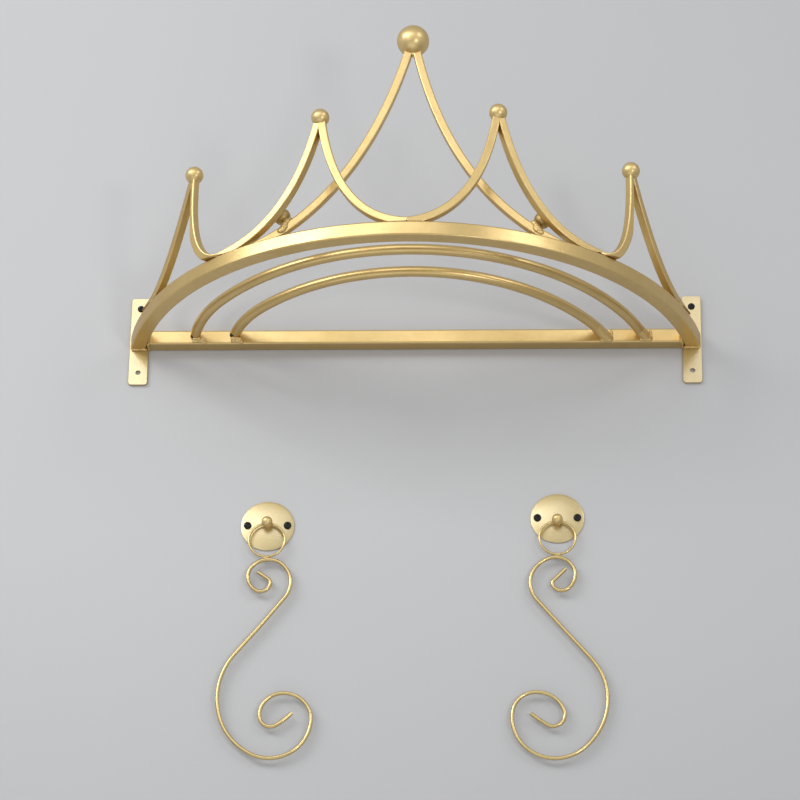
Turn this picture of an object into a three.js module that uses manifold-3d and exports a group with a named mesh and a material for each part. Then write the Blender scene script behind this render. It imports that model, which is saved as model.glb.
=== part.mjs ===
// Bed crown canopy: a half-ring crown of square tube with two curtain rods and five bent-bar
// spires, and a pair of wall tie-backs whose scroll hooks swing on their posts.
// Millimetres. +Z is up, the wall is the plane Y = 0, the room is towards -Y and the crown is
// centred on X = 0, with the origin in the middle of the wall bar's back face.

import * as THREE from 'three';
import { mergeVertices } from 'three/addons/utils/BufferGeometryUtils.js';
import Module from 'manifold-3d';

const wasm = await Module();
wasm.setup();

// Clearance left at every welded, seated or screwed joint
const seatGap = 0.3;

// Square tube of the wall bar and the crown ring
const tubeWidth = 16;
const tubeWall = 1.5;
const tubeCorner = 1.8;

// Flat wall brackets
const bracketWidth = 20;
const bracketHeight = 102;
const bracketThickness = 3;
const bracketCorner = 3;
const bracketInset = 1.5;
const bracketRaise = 2;
const bracketHole = 5.5;
const screwHoleHeight = 40.5;
const spareHoleHeight = -35;

// Crown ring, an arc in plan measured on its centreline
const crownHalfWidth = 291.5;
const crownDepth = 238.8;

// Curtain rods: round tube bent in plan to a middle arc with a tighter arc at each end, which
// starts at the bend angle, and rising evenly away from the wall bar
const rodDiameter = 11;
const rodBore = 8;
const outerRodDepth = 172.5;
const outerRodRadius = 260.8;
const outerRodLeftRadius = 148.1;
const outerRodLeftBend = 49.2;
const outerRodRightRadius = 202.1;
const outerRodRightBend = 54.9;
const outerRodHeight = 1.67;
const outerRodRiseShare = 0.0959;
const innerRodDepth = 124.8;
const innerRodRadius = 232.5;
const innerRodLeftRadius = 117.6;
const innerRodLeftBend = 42.7;
const innerRodRightRadius = 155.5;
const innerRodRightBend = 59;
const innerRodHeight = 2.7;
const innerRodRiseShare = 0.1339;

// Square bar of the spires
const barWidth = 8.5;
const barCorner = 0.9;
const footOffset = 3.6;
const tallFootOffset = -3.75;

// Balls
const smallBallDiameter = 16.5;
const smallBallSeat = 7;
const tallBallDiameter = 31;
const tallBallSeat = 13.6;

// Front and side spires: each ball's angle round the ring, offset from its centreline and
// height, then each leg's foot angle and the shares of its reach and rise that bend it
const leftFrontSpire = {
  ballAngle: 17.15,
  ballOffset: 7.3,
  ballHeight: 136.9,
  innerLeg: { angle: 0, spreadShare: 0.21, liftShare: 0.055 },
  outerLeg: { angle: 38.6, spreadShare: 0.277, liftShare: 0.125 },
};
const rightFrontSpire = {
  ballAngle: 17.25,
  ballOffset: 7.4,
  ballHeight: 142.5,
  innerLeg: { angle: 0, spreadShare: 0.206, liftShare: 0.108 },
  outerLeg: { angle: 38.8, spreadShare: 0.291, liftShare: 0.104 },
};
const leftSideSpire = {
  ballAngle: 45.3,
  ballOffset: 16,
  ballHeight: 111.5,
  frontLeg: { angle: 39.8, spreadShare: -0.132, liftShare: -0.07 },
  rearLeg: { angle: 63.7, spreadShare: 0.6, liftShare: 0.09 },
};
const rightSideSpire = {
  ballAngle: 45.7,
  ballOffset: 17.2,
  ballHeight: 114,
  frontLeg: { angle: 40.4, spreadShare: -0.054, liftShare: -0.071 },
  rearLeg: { angle: 66.3, spreadShare: 0.516, liftShare: 0.118 },
};

// Tall middle spire
const tallBallShift = 1.4;
const tallBallHeight = 251.3;
const tallFootRise = 2.5;
const tallLeftLeg = { angle: 30.6, spreadShare: 0.335, liftShare: 0.261 };
const tallRightLeg = { angle: 30, spreadShare: 0.28, liftShare: 0.274 };

// Knobs on the legs of the tall spire, leaning towards the wall
const knobNeckDiameter = 7;
const knobReach = 16.5;
const knobLean = 14;
const leftKnobX = 118.5;
const rightKnobX = 125;

// Tie-back plates, posts and their screws
const plateX = 148.5;
const leftPlateZ = -212;
const rightPlateZ = -204;
const plateDiameter = 55;
const plateRim = 1.2;
const plateRise = 2.5;
const plateHole = 4.6;
const plateScrewOffset = 20.5;
const leftPostDrop = 0;
const rightPostDrop = 6;
const postDiameter = 7;
const postBallDiameter = 10.5;
const postBallReach = 12;
const eyeDiameter = 4;
const eyeReach = 7;

// Hanging ring and scroll wire
const ringRadius = 18.5;
const ringWire = 2.5;
const scrollWire = 4;

// Black screws
const crownScrewHead = 7.4;
const plateScrewHead = 8;
const screwHeadHeight = 2.2;
const screwShank = 3.6;
const screwLength = 28;
const screwPoint = 5;
const recessLength = 3.8;
const recessWidth = 0.9;
const recessDepth = 1;

// Scroll centrelines as seen from the front, from the tip of the small curl to the tip of the
// large one: start under the hinge, first heading, then radius and turn of each arc in turn.
// A left turn is positive; the right scroll is listed as its mirror image.
const leftScrollStart = [-8.3, -54.1];
const leftScrollHeading = -32.6;
const leftScrollArcs = [
  [147, -5.2], [6.2, -62], [9.7, -112.8], [17.8, -97.8], [21.5, -95.9], [27.7, -80], [1144.6, -3.8],
  [77.2, 53.6], [65.9, 47.3], [40.9, 119], [29.1, 79.3], [23.7, 106.3], [11.3, 118.6], [83.5, 13.2],
];
const rightScrollStart = [-8.1, -54.2];
const rightScrollHeading = -48;
const rightScrollArcs = [
  [269.8, 3.6], [5.9, -91.1], [11, -87.9], [19.7, -68.3], [19.7, -88.4], [29.2, -109.6], [4778, -1],
  [69.4, 55.2], [67.8, 37.5], [42.9, 141.9], [23.3, 69.9], [28.7, 82.6], [11.9, 136.6], [172.9, 6.5],
];

// Mesh fineness
const cornerSteps = 1;
const ringStations = 44;
const rodStations = 28;
const rodSides = 12;
const barStations = 11;
const barOverrun = 25;
const ballSides = 16;
const ballSteps = 7;
const plateSides = 36;
const domeSteps = 5;
const postSides = 14;
const screwSides = 12;
const headSteps = 3;
const holeSides = 14;
const wireSides = 8;
const ringSteps = 36;
const scrollStepTurn = 15;
const trimBlock = 2000;

// Materials
const goldColour = 0xd8bd78;
const goldRoughness = 0.34;
const goldMetalness = 0.85;
const blackColour = 0x161514;
const blackRoughness = 0.45;
const blackMetalness = 0.6;

const barTopFace = tubeWidth / 2;
const outward = new THREE.Vector3(0, 0, 1);
const upward = new THREE.Vector3(0, 0, 1);
const wallward = new THREE.Vector3(0, 1, 0);

const gold = () => new THREE.MeshStandardMaterial({
  color: goldColour,
  roughness: goldRoughness,
  metalness: goldMetalness,
});

const black = () => new THREE.MeshStandardMaterial({
  color: blackColour,
  roughness: blackRoughness,
  metalness: blackMetalness,
});

function toSolid(geometry) {
  const bare = geometry.clone();
  bare.deleteAttribute('normal');
  bare.deleteAttribute('uv');
  const merged = mergeVertices(bare);
  return new wasm.Manifold(new wasm.Mesh({
    numProp: 3,
    vertProperties: new Float32Array(merged.attributes.position.array),
    triVerts: new Uint32Array(merged.index.array),
  }));
}

function fromSolid(solid) {
  const mesh = solid.getMesh();
  const geometry = new THREE.BufferGeometry();
  geometry.setAttribute('position', new THREE.BufferAttribute(mesh.vertProperties, 3));
  geometry.setIndex(new THREE.BufferAttribute(mesh.triVerts, 1));
  geometry.computeVertexNormals();
  return geometry;
}

// Cuts away everything on the side of a plane that its normal points to
function trim(solid, point, normal) {
  const block = new THREE.BoxGeometry(trimBlock, trimBlock, trimBlock);
  block.translate(0, 0, trimBlock / 2);
  block.applyQuaternion(new THREE.Quaternion().setFromUnitVectors(outward, normal));
  block.translate(point.x, point.y, point.z);
  return solid.subtract(toSolid(block));
}

// Cuts a round hole whose axis passes through a point
function drill(solid, diameter, point, axis) {
  const cutter = new THREE.CylinderGeometry(diameter / 2, diameter / 2, plateDiameter, holeSides);
  cutter.applyQuaternion(new THREE.Quaternion().setFromUnitVectors(new THREE.Vector3(0, 1, 0), axis));
  cutter.translate(point.x, point.y, point.z);
  return solid.subtract(toSolid(cutter));
}

function place(group, name, geometry, material, position, rotation) {
  const mesh = new THREE.Mesh(geometry, material);
  mesh.name = name;
  if (position) mesh.position.copy(position);
  if (rotation) mesh.rotation.copy(rotation);
  group.add(mesh);
  return mesh;
}

function subgroup(parent, name) {
  const group = new THREE.Group();
  group.name = name;
  parent.add(group);
  return group;
}

// Outline of a rectangle with rounded corners
function roundedRectangle(width, height, corner) {
  const x = width / 2 - corner;
  const y = height / 2 - corner;
  const quarter = Math.PI / 2;
  const outline = new THREE.Shape();
  outline.absarc(x, y, corner, 0, quarter);
  outline.absarc(-x, y, corner, quarter, 2 * quarter);
  outline.absarc(-x, -y, corner, 2 * quarter, 3 * quarter);
  outline.absarc(x, -y, corner, 3 * quarter, 4 * quarter);
  return outline;
}

function chamferedSquare(width, corner) {
  const far = width / 2;
  const near = far - corner;
  const ends = [[far, near], [near, far], [-near, far], [-far, near]];
  const points = [...ends, ...ends.map(([x, y]) => [-x, -y])];
  return new THREE.Shape(points.map(([x, y]) => new THREE.Vector2(x, y)));
}

function circle(diameter, sides, Outline = THREE.Shape) {
  const points = [];
  for (let side = 0; side < sides; side += 1) {
    const turn = (2 * Math.PI * side) / sides;
    points.push(new THREE.Vector2(Math.cos(turn) * diameter / 2, Math.sin(turn) * diameter / 2));
  }
  return new Outline(points);
}

function squareTube() {
  const shape = roundedRectangle(tubeWidth, tubeWidth, tubeCorner);
  const inner = (tubeWidth - 2 * tubeWall) / 2;
  shape.holes.push(new THREE.Path([
    new THREE.Vector2(inner, inner),
    new THREE.Vector2(-inner, inner),
    new THREE.Vector2(-inner, -inner),
    new THREE.Vector2(inner, -inner),
  ]));
  return shape;
}

// Curve whose stations are evenly spaced in its own parameter
class StationCurve extends THREE.Curve {
  constructor(pointAt) {
    super();
    this.pointAt = pointAt;
  }

  getPoint(share, target = new THREE.Vector3()) {
    return target.copy(this.pointAt(share));
  }

  getUtoTmapping(share) {
    return share;
  }
}

function sweep(shape, pointAt, steps) {
  return new THREE.ExtrudeGeometry(shape, {
    extrudePath: new StationCurve(pointAt),
    steps,
    curveSegments: cornerSteps,
  });
}

// Body of revolution about Z, from the lowest profile point to the highest
function turned(profile, sides) {
  const points = profile.map(([radius, height]) => new THREE.Vector2(radius, height));
  const geometry = new THREE.LatheGeometry(points, sides);
  geometry.rotateX(Math.PI / 2);
  return geometry;
}

// Points of a ball's profile from one height above its centre up to its pole
function ballProfile(diameter, centre, from, steps) {
  const start = Math.asin((2 * from) / diameter);
  const points = [];
  for (let step = 0; step < steps; step += 1) {
    const angle = THREE.MathUtils.lerp(start, Math.PI / 2, step / steps);
    points.push([Math.cos(angle) * diameter / 2, centre + Math.sin(angle) * diameter / 2]);
  }
  points.push([0, centre + diameter / 2]);
  return points;
}

// Crown ring
const crownRadius = (crownHalfWidth ** 2 + crownDepth ** 2) / (2 * crownDepth);
const crownCentreY = crownRadius - crownDepth;

function crownPoint(angle, offset, height) {
  const radius = crownRadius + offset;
  const point = new THREE.Vector3(radius * Math.sin(angle), -radius * Math.cos(angle), height);
  point.y += crownCentreY;
  return point;
}

function crownRing() {
  const endFace = -(bracketThickness + seatGap);
  const overrun = tubeWidth / crownRadius;
  const endAngle = Math.acos((crownCentreY - endFace) / crownRadius) + overrun;
  const arc = (share) => crownPoint(THREE.MathUtils.lerp(-endAngle, endAngle, share), 0, 0);
  const swept = toSolid(sweep(squareTube(), arc, ringStations));
  const wallSide = new THREE.Vector3(0, 1, 0);
  return fromSolid(trim(swept, new THREE.Vector3(0, endFace, 0), wallSide));
}

const bracketX = crownHalfWidth - bracketInset;

// Wall bar, stopped short of the inside of the ring and of the brackets
function wallBar() {
  const ringInner = crownRadius - tubeWidth / 2;
  const ringInnerX = Math.sqrt(ringInner ** 2 - (crownCentreY + tubeWidth) ** 2);
  const halfLength = Math.min(ringInnerX, bracketX - bracketWidth / 2) - seatGap;
  const geometry = new THREE.ExtrudeGeometry(squareTube(), {
    depth: 2 * halfLength,
    bevelEnabled: false,
    curveSegments: cornerSteps,
  });
  geometry.translate(0, 0, -halfLength);
  geometry.rotateY(Math.PI / 2);
  return geometry;
}

// Tighter arc at one end of a rod, which stops where its inner corner rests against the wall bar
function rodEnd(middle, side, radius, bend) {
  const start = THREE.MathUtils.degToRad(bend);
  const shift = middle.radius - radius;
  const x = side * shift * Math.sin(start);
  const y = middle.y - shift * Math.cos(start);
  const stop = Math.acos((y + tubeWidth + seatGap) / (radius - rodDiameter / 2));
  return { x, y, radius, start, stop };
}

function curtainRod(rod) {
  const middle = { x: 0, y: rod.radius - rod.depth, radius: rod.radius };
  const left = rodEnd(middle, -1, rod.leftRadius, rod.leftBend);
  const right = rodEnd(middle, 1, rod.rightRadius, rod.rightBend);
  const line = (share) => {
    const angle = THREE.MathUtils.lerp(-left.stop, right.stop, share);
    let bend = middle;
    if (angle < -left.start) bend = left;
    if (angle > right.start) bend = right;
    const y = bend.y - bend.radius * Math.cos(angle);
    const z = rod.height - rod.riseShare * (y + tubeWidth);
    return new THREE.Vector3(bend.x + bend.radius * Math.sin(angle), y, z);
  };
  const shape = circle(rodDiameter, rodSides);
  shape.holes.push(circle(rodBore, rodSides, THREE.Path));
  return sweep(shape, line, rodStations);
}

// Spire leg: square bar bent in the upright plane through its apex and its foot
function spireLeg(spire, leg, partner, footPlanes) {
  const apex = new THREE.Vector3(spire.x, spire.y, spire.z - spire.seat);
  const foot = footPoint(leg);
  const reach = Math.hypot(foot.x - apex.x, foot.y - apex.y);
  const away = new THREE.Vector3(foot.x - apex.x, foot.y - apex.y, 0).normalize();
  const rise = apex.z - foot.z;
  const bend = new THREE.QuadraticBezierCurve3(
    new THREE.Vector3(0, rise, 0),
    new THREE.Vector3(leg.spreadShare * reach, leg.liftShare * rise, 0),
    new THREE.Vector3(reach, 0, 0),
  );
  const topRun = bend.getTangent(0).multiplyScalar(-barWidth);
  const footRun = bend.getTangent(1).multiplyScalar(barOverrun);
  const line = (share) => {
    const run = share * (barStations + 2) - 1;
    if (run < 0) return bend.getPoint(0).addScaledVector(topRun, -run);
    if (run > barStations) return bend.getPoint(1).addScaledVector(footRun, run - barStations);
    return bend.getPoint(run / barStations);
  };
  const geometry = sweep(chamferedSquare(barWidth, barCorner), line, barStations + 2);
  const across = new THREE.Vector3().crossVectors(away, upward);
  geometry.applyMatrix4(new THREE.Matrix4().makeBasis(away, upward, across));
  geometry.translate(apex.x, apex.y, foot.z);

  const partnerFoot = footPoint(partner);
  const toPartner = new THREE.Vector3(partnerFoot.x - apex.x, partnerFoot.y - apex.y, 0).normalize();
  const split = toPartner.sub(away).normalize();
  let solid = toSolid(geometry);
  solid = trim(solid, apex.clone().addScaledVector(split, -seatGap / 2), split);
  solid = trim(solid, new THREE.Vector3(0, 0, apex.z - seatGap), upward);
  solid = trim(solid, new THREE.Vector3(0, 0, barTopFace + seatGap), upward.clone().negate());
  for (const plane of footPlanes) solid = trim(solid, plane.point, plane.normal);
  return fromSolid(solid);
}

// Middle of a foot where the leg's bend ends, on the ring's top or a little above it
function footPoint(leg) {
  const angle = THREE.MathUtils.degToRad(leg.angle);
  return crownPoint(angle, leg.offset, barTopFace + seatGap + leg.footRise);
}

// Upright plane square to the ring where two feet meet; side is the way its waste lies
function meetingPlane(angleInDegrees, side) {
  const angle = THREE.MathUtils.degToRad(angleInDegrees);
  const normal = new THREE.Vector3(Math.cos(angle), Math.sin(angle), 0).multiplyScalar(side);
  return { point: crownPoint(angle, 0, 0).addScaledVector(normal, -seatGap / 2), normal };
}

function spireBall(diameter, seat) {
  return turned([[0, -seat], ...ballProfile(diameter, 0, -seat, ballSteps)], ballSides);
}

function kneeKnob() {
  const radius = smallBallDiameter / 2;
  const neck = knobNeckDiameter / 2;
  const lean = THREE.MathUtils.degToRad(knobLean);
  const base = (barWidth / 2 + seatGap) / Math.cos(lean) + neck * Math.tan(lean);
  const join = -Math.sqrt(radius ** 2 - neck ** 2);
  const ball = ballProfile(smallBallDiameter, knobReach, join, ballSteps);
  return turned([[0, base], [neck, base], ...ball], ballSides);
}

// Place and outward direction of a knob, where its leg passes a set distance from the middle
function knobSeat(spire, leg, side, knobX) {
  const foot = footPoint(leg);
  const lean = THREE.MathUtils.degToRad(knobLean);
  const away = new THREE.Vector3(foot.x - spire.x, foot.y - spire.y, 0);
  const reach = away.length();
  const rise = spire.z - spire.seat - foot.z;
  away.normalize();
  const run = (knobX - side * spire.x) / Math.abs(away.x);
  const square = 1 - 2 * leg.spreadShare;
  const share = (Math.sqrt(leg.spreadShare ** 2 + square * run / reach) - leg.spreadShare) / square;
  const rest = 1 - share;
  const height = rise * (rest ** 2 + 2 * share * rest * leg.liftShare);
  const forward = reach * (rest * leg.spreadShare + share * (1 - leg.spreadShare));
  const downward = rise * (rest * (1 - leg.liftShare) + share * leg.liftShare);
  const point = new THREE.Vector3(spire.x, spire.y, foot.z + height).addScaledVector(away, run);
  const normal = away.multiplyScalar(downward).addScaledVector(upward, forward).normalize();
  normal.multiplyScalar(Math.cos(lean)).addScaledVector(wallward, Math.sin(lean)).normalize();
  return { point, normal };
}

function bracket() {
  const shape = roundedRectangle(bracketWidth, bracketHeight, bracketCorner);
  const geometry = new THREE.ExtrudeGeometry(shape, {
    depth: bracketThickness,
    bevelEnabled: false,
    curveSegments: 2 * cornerSteps,
  });
  geometry.translate(0, bracketRaise, 0);
  let solid = toSolid(geometry);
  for (const height of [screwHoleHeight, spareHoleHeight]) {
    solid = drill(solid, bracketHole, new THREE.Vector3(0, height, 0), outward);
  }
  return fromSolid(solid);
}

// Pan-head screw with a cross recess, its head above the plane Z = 0
function screw(headDiameter) {
  const head = headDiameter / 2;
  const shank = screwShank / 2;
  const profile = [[0, -screwLength], [shank, screwPoint - screwLength], [shank, 0], [head, 0]];
  for (let step = 1; step < headSteps; step += 1) {
    const angle = (Math.PI / 2) * (step / headSteps);
    profile.push([head * Math.cos(angle), screwHeadHeight * Math.sin(angle)]);
  }
  profile.push([0, screwHeadHeight]);
  let solid = toSolid(turned(profile, screwSides));
  for (const [x, y] of [[recessLength, recessWidth], [recessWidth, recessLength]]) {
    const slot = new THREE.BoxGeometry(x, y, 2 * recessDepth);
    slot.translate(0, 0, screwHeadHeight);
    solid = solid.subtract(toSolid(slot));
  }
  return fromSolid(solid);
}

// Height of a plate's domed face at a distance from its centre
function domeHeight(radius) {
  const domeRadius = ((plateDiameter / 2) ** 2 + plateRise ** 2) / (2 * plateRise);
  return plateRim + plateRise - domeRadius + Math.sqrt(domeRadius ** 2 - radius ** 2);
}

function tiebackPlate() {
  const profile = [[0, 0], [plateDiameter / 2, 0]];
  for (let step = 0; step <= domeSteps; step += 1) {
    const radius = (plateDiameter / 2) * (1 - step / domeSteps);
    profile.push([radius, domeHeight(radius)]);
  }
  let solid = toSolid(turned(profile, plateSides));
  for (const side of [-1, 1]) {
    solid = drill(solid, plateHole, new THREE.Vector3(side * plateScrewOffset, 0, 0), outward);
  }
  return fromSolid(solid);
}

// Post with a ball end, pierced sideways by the eye that carries the ring
function tiebackPost() {
  const neck = postDiameter / 2;
  const base = domeHeight(0) + seatGap;
  const join = -Math.sqrt((postBallDiameter / 2) ** 2 - neck ** 2);
  const ball = ballProfile(postBallDiameter, postBallReach, join, ballSteps);
  const solid = toSolid(turned([[0, base], [neck, base], ...ball], postSides));
  const sideways = new THREE.Vector3(1, 0, 0);
  return fromSolid(drill(solid, eyeDiameter, new THREE.Vector3(0, 0, eyeReach), sideways));
}

// Chain of arcs that follow on from each other, as stations of the wire's centreline
function arcStations(start, heading, arcs) {
  const stations = [new THREE.Vector3(start[0], start[1], 0)];
  let direction = THREE.MathUtils.degToRad(heading);
  for (const [radius, turn] of arcs) {
    const steps = Math.ceil(Math.abs(turn) / scrollStepTurn);
    const stepTurn = THREE.MathUtils.degToRad(turn) / steps;
    const chord = 2 * radius * Math.sin(Math.abs(stepTurn) / 2);
    for (let step = 0; step < steps; step += 1) {
      const last = stations[stations.length - 1];
      const way = direction + stepTurn / 2;
      stations.push(new THREE.Vector3(last.x + chord * Math.cos(way), last.y + chord * Math.sin(way), 0));
      direction += stepTurn;
    }
  }
  return stations;
}

// Scroll with its highest point just under the bottom of the ring, mirrored for the right side
function scroll(stations, mirror) {
  const highest = Math.max(...stations.map((station) => station.y));
  const ringBottom = -(2 * ringRadius + ringWire / 2);
  const drop = ringBottom - seatGap - scrollWire / 2 - highest;
  const last = stations.length - 1;
  const line = (share) => {
    const run = share * last;
    const index = Math.min(Math.floor(run), last - 1);
    const point = stations[index].clone().lerp(stations[index + 1], run - index);
    return new THREE.Vector3(mirror * point.x, point.y + drop, 0);
  };
  return sweep(circle(scrollWire, wireSides), line, last);
}

const canopy = new THREE.Group();
canopy.name = 'bed_crown_canopy';
const facingRoom = new THREE.Euler(Math.PI / 2, 0, 0);

// Frame of the crown
const frame = subgroup(canopy, 'crown_frame');
place(frame, 'wall_bar', wallBar(), gold(), new THREE.Vector3(0, -tubeWidth / 2, 0));
place(frame, 'crown_ring', crownRing(), gold());
const outerRod = {
  depth: outerRodDepth,
  radius: outerRodRadius,
  leftRadius: outerRodLeftRadius,
  leftBend: outerRodLeftBend,
  rightRadius: outerRodRightRadius,
  rightBend: outerRodRightBend,
  height: outerRodHeight,
  riseShare: outerRodRiseShare,
};
const innerRod = {
  depth: innerRodDepth,
  radius: innerRodRadius,
  leftRadius: innerRodLeftRadius,
  leftBend: innerRodLeftBend,
  rightRadius: innerRodRightRadius,
  rightBend: innerRodRightBend,
  height: innerRodHeight,
  riseShare: innerRodRiseShare,
};
place(frame, 'outer_rod', curtainRod(outerRod), gold());
place(frame, 'inner_rod', curtainRod(innerRod), gold());

for (const [side, hand] of [[-1, 'left'], [1, 'right']]) {
  const x = side * bracketX;
  place(frame, `${hand}_bracket`, bracket(), gold(), new THREE.Vector3(x, 0, 0), facingRoom);
  const head = new THREE.Vector3(x, -(bracketThickness + seatGap), screwHoleHeight);
  place(frame, `${hand}_bracket_screw`, screw(crownScrewHead), black(), head, facingRoom);
}

// Spires
const spires = subgroup(canopy, 'spires');

// Small ball's centre, set by its angle round the ring and its offset from the ring's centreline
function smallBallPlace(spire, side) {
  const angle = THREE.MathUtils.degToRad(side * spire.ballAngle);
  const { x, y, z } = crownPoint(angle, spire.ballOffset, spire.ballHeight);
  return { x, y, z, seat: smallBallSeat };
}

function placedLeg(leg, side, offset, footRise) {
  return { ...leg, angle: side * leg.angle, offset, footRise };
}

for (const [side, hand, frontSpire, sideSpire] of [
  [-1, 'left', leftFrontSpire, leftSideSpire],
  [1, 'right', rightFrontSpire, rightSideSpire],
]) {
  const front = smallBallPlace(frontSpire, side);
  const inner = placedLeg(frontSpire.innerLeg, side, footOffset, 0);
  const outer = placedLeg(frontSpire.outerLeg, side, footOffset, 0);
  const sideways = smallBallPlace(sideSpire, side);
  const near = placedLeg(sideSpire.frontLeg, side, footOffset, 0);
  const rear = placedLeg(sideSpire.rearLeg, side, footOffset, 0);
  const meetingAngle = (outer.angle + near.angle) / 2;
  const middlePlane = meetingPlane(inner.angle, -side);
  const cornerPlane = meetingPlane(meetingAngle, side);
  const nearPlane = meetingPlane(meetingAngle, -side);
  place(spires, `${hand}_front_spire_inner_leg`, spireLeg(front, inner, outer, [middlePlane]), gold());
  place(spires, `${hand}_front_spire_outer_leg`, spireLeg(front, outer, inner, [cornerPlane]), gold());
  place(spires, `${hand}_side_spire_front_leg`, spireLeg(sideways, near, rear, [nearPlane]), gold());
  place(spires, `${hand}_side_spire_rear_leg`, spireLeg(sideways, rear, near, []), gold());

  for (const [name, spire] of [['front', front], ['side', sideways]]) {
    const centre = new THREE.Vector3(spire.x, spire.y, spire.z);
    place(spires, `${hand}_${name}_ball`, spireBall(smallBallDiameter, smallBallSeat), gold(), centre);
  }
}

const tallLegs = [
  placedLeg(tallLeftLeg, -1, tallFootOffset, tallFootRise),
  placedLeg(tallRightLeg, 1, tallFootOffset, tallFootRise),
];
const [leftFootY, rightFootY] = tallLegs.map((leg) => footPoint(leg).y);
const tall = {
  x: tallBallShift,
  y: (leftFootY + rightFootY) / 2,
  z: tallBallHeight,
  seat: tallBallSeat,
};

for (const [side, hand, leg, partner, knobX] of [
  [-1, 'left', tallLegs[0], tallLegs[1], leftKnobX],
  [1, 'right', tallLegs[1], tallLegs[0], rightKnobX],
]) {
  place(spires, `tall_spire_${hand}_leg`, spireLeg(tall, leg, partner, []), gold());
  const seat = knobSeat(tall, leg, side, knobX);
  const knob = place(spires, `${hand}_knob`, kneeKnob(), gold(), seat.point);
  knob.quaternion.setFromUnitVectors(upward, seat.normal);
}

const tallCentre = new THREE.Vector3(tall.x, tall.y, tall.z);
place(spires, 'tall_ball', spireBall(tallBallDiameter, tallBallSeat), gold(), tallCentre);

// Tie-backs
const leftStations = arcStations(leftScrollStart, leftScrollHeading, leftScrollArcs);
const rightStations = arcStations(rightScrollStart, rightScrollHeading, rightScrollArcs);

for (const [side, hand, plateZ, postDrop, stations] of [
  [-1, 'left', leftPlateZ, leftPostDrop, leftStations],
  [1, 'right', rightPlateZ, rightPostDrop, rightStations],
]) {
  const tieback = subgroup(canopy, `${hand}_tieback`);
  const x = side * plateX;
  const postZ = plateZ - postDrop;
  place(tieback, `${hand}_plate`, tiebackPlate(), gold(), new THREE.Vector3(x, 0, plateZ), facingRoom);
  place(tieback, `${hand}_post`, tiebackPost(), gold(), new THREE.Vector3(x, 0, postZ), facingRoom);
  for (const [way, edge] of [[-1, 'inner'], [1, 'outer']]) {
    const seat = domeHeight(plateScrewOffset - plateScrewHead / 2) + seatGap;
    const head = new THREE.Vector3(x + side * way * plateScrewOffset, -seat, plateZ);
    place(tieback, `${hand}_plate_${edge}_screw`, screw(plateScrewHead), black(), head, facingRoom);
  }
  const ringGeometry = new THREE.TorusGeometry(ringRadius, ringWire / 2, wireSides, ringSteps);
  const ringCentre = new THREE.Vector3(x, -eyeReach, postZ - ringRadius);
  place(tieback, `${hand}_ring`, ringGeometry, gold(), ringCentre, facingRoom);
  const hinge = new THREE.Vector3(x, -eyeReach, postZ);
  place(tieback, `${hand}_scroll`, scroll(stations, -side), gold(), hinge, facingRoom);
}

export default canopy;
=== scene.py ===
"""Bed crown canopy: a half-ring crown with bent-bar spires and a pair of scroll tie-backs.

Pieces are set out in millimetres; finishes, node trees and the studio are in metres.
"""

import logging
import math
from collections.abc import Callable, Iterable, Sequence
from dataclasses import dataclass, field
from enum import Enum

import bmesh
import bpy
from mathutils import Matrix, Vector, noise


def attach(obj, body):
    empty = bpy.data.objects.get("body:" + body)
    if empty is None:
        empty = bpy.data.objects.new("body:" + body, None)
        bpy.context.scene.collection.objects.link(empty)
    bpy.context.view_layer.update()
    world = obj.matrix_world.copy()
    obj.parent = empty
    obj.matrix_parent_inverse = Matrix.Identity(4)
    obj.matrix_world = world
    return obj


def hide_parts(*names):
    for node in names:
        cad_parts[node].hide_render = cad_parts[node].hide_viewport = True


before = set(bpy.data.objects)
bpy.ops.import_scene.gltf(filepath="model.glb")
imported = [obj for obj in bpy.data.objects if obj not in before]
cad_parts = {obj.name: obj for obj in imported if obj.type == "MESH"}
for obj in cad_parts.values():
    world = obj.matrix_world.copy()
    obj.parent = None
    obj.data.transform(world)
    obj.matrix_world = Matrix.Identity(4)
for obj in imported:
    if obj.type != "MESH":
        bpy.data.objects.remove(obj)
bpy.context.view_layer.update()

log = logging.getLogger("bed_crown")

MM = 0.001
WALL_BODY = "wall_parts"
UP = Vector((0.0, 0.0, 1.0))
WALLWARD = Vector((0.0, 1.0, 0.0))
SEAT_GAP = 0.3
HANDS = ((-1, "left"), (1, "right"))
THROUGH = (-2.0, 8.0)

Colour = tuple[float, float, float]
Place = tuple[float, float, float]
Outline = list[tuple[float, float]]


class Slot(Enum):
    """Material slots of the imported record."""

    FRAME = "gold_frame"
    PLATE = "gold_plate"
    BALL = "gold_ball"
    WIRE = "gold_wire"
    SCREW = "black_screw"


# ---- Node trees ----


class Value:
    """A number socket that takes part in Python expressions."""

    def __init__(self, tree: "Tree", socket: bpy.types.NodeSocket) -> None:
        """Keeps the socket and the tree that its new nodes join."""
        self.tree = tree
        self.socket = socket

    def _math(self, operation: str, first: object, second: object) -> "Value":
        """Returns the result of a new Math node on two Values or numbers."""
        return self.tree.value("ShaderNodeMath", 0, {0: first, 1: second}, operation=operation)

    def __add__(self, other: object) -> "Value":
        """Returns the sum."""
        return self._math("ADD", self, other)

    def __radd__(self, other: object) -> "Value":
        """Returns the sum with a number on the left."""
        return self._math("ADD", other, self)

    def __sub__(self, other: object) -> "Value":
        """Returns the difference."""
        return self._math("SUBTRACT", self, other)

    def __rsub__(self, other: object) -> "Value":
        """Returns the difference with a number on the left."""
        return self._math("SUBTRACT", other, self)

    def __mul__(self, other: object) -> "Value":
        """Returns the product."""
        return self._math("MULTIPLY", self, other)

    def __rmul__(self, other: object) -> "Value":
        """Returns the product with a number on the left."""
        return self._math("MULTIPLY", other, self)

    def below(self, limit: float) -> "Value":
        """Returns 1 where the value is less than a limit and 0 elsewhere."""
        return self._math("LESS_THAN", self, limit)


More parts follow.
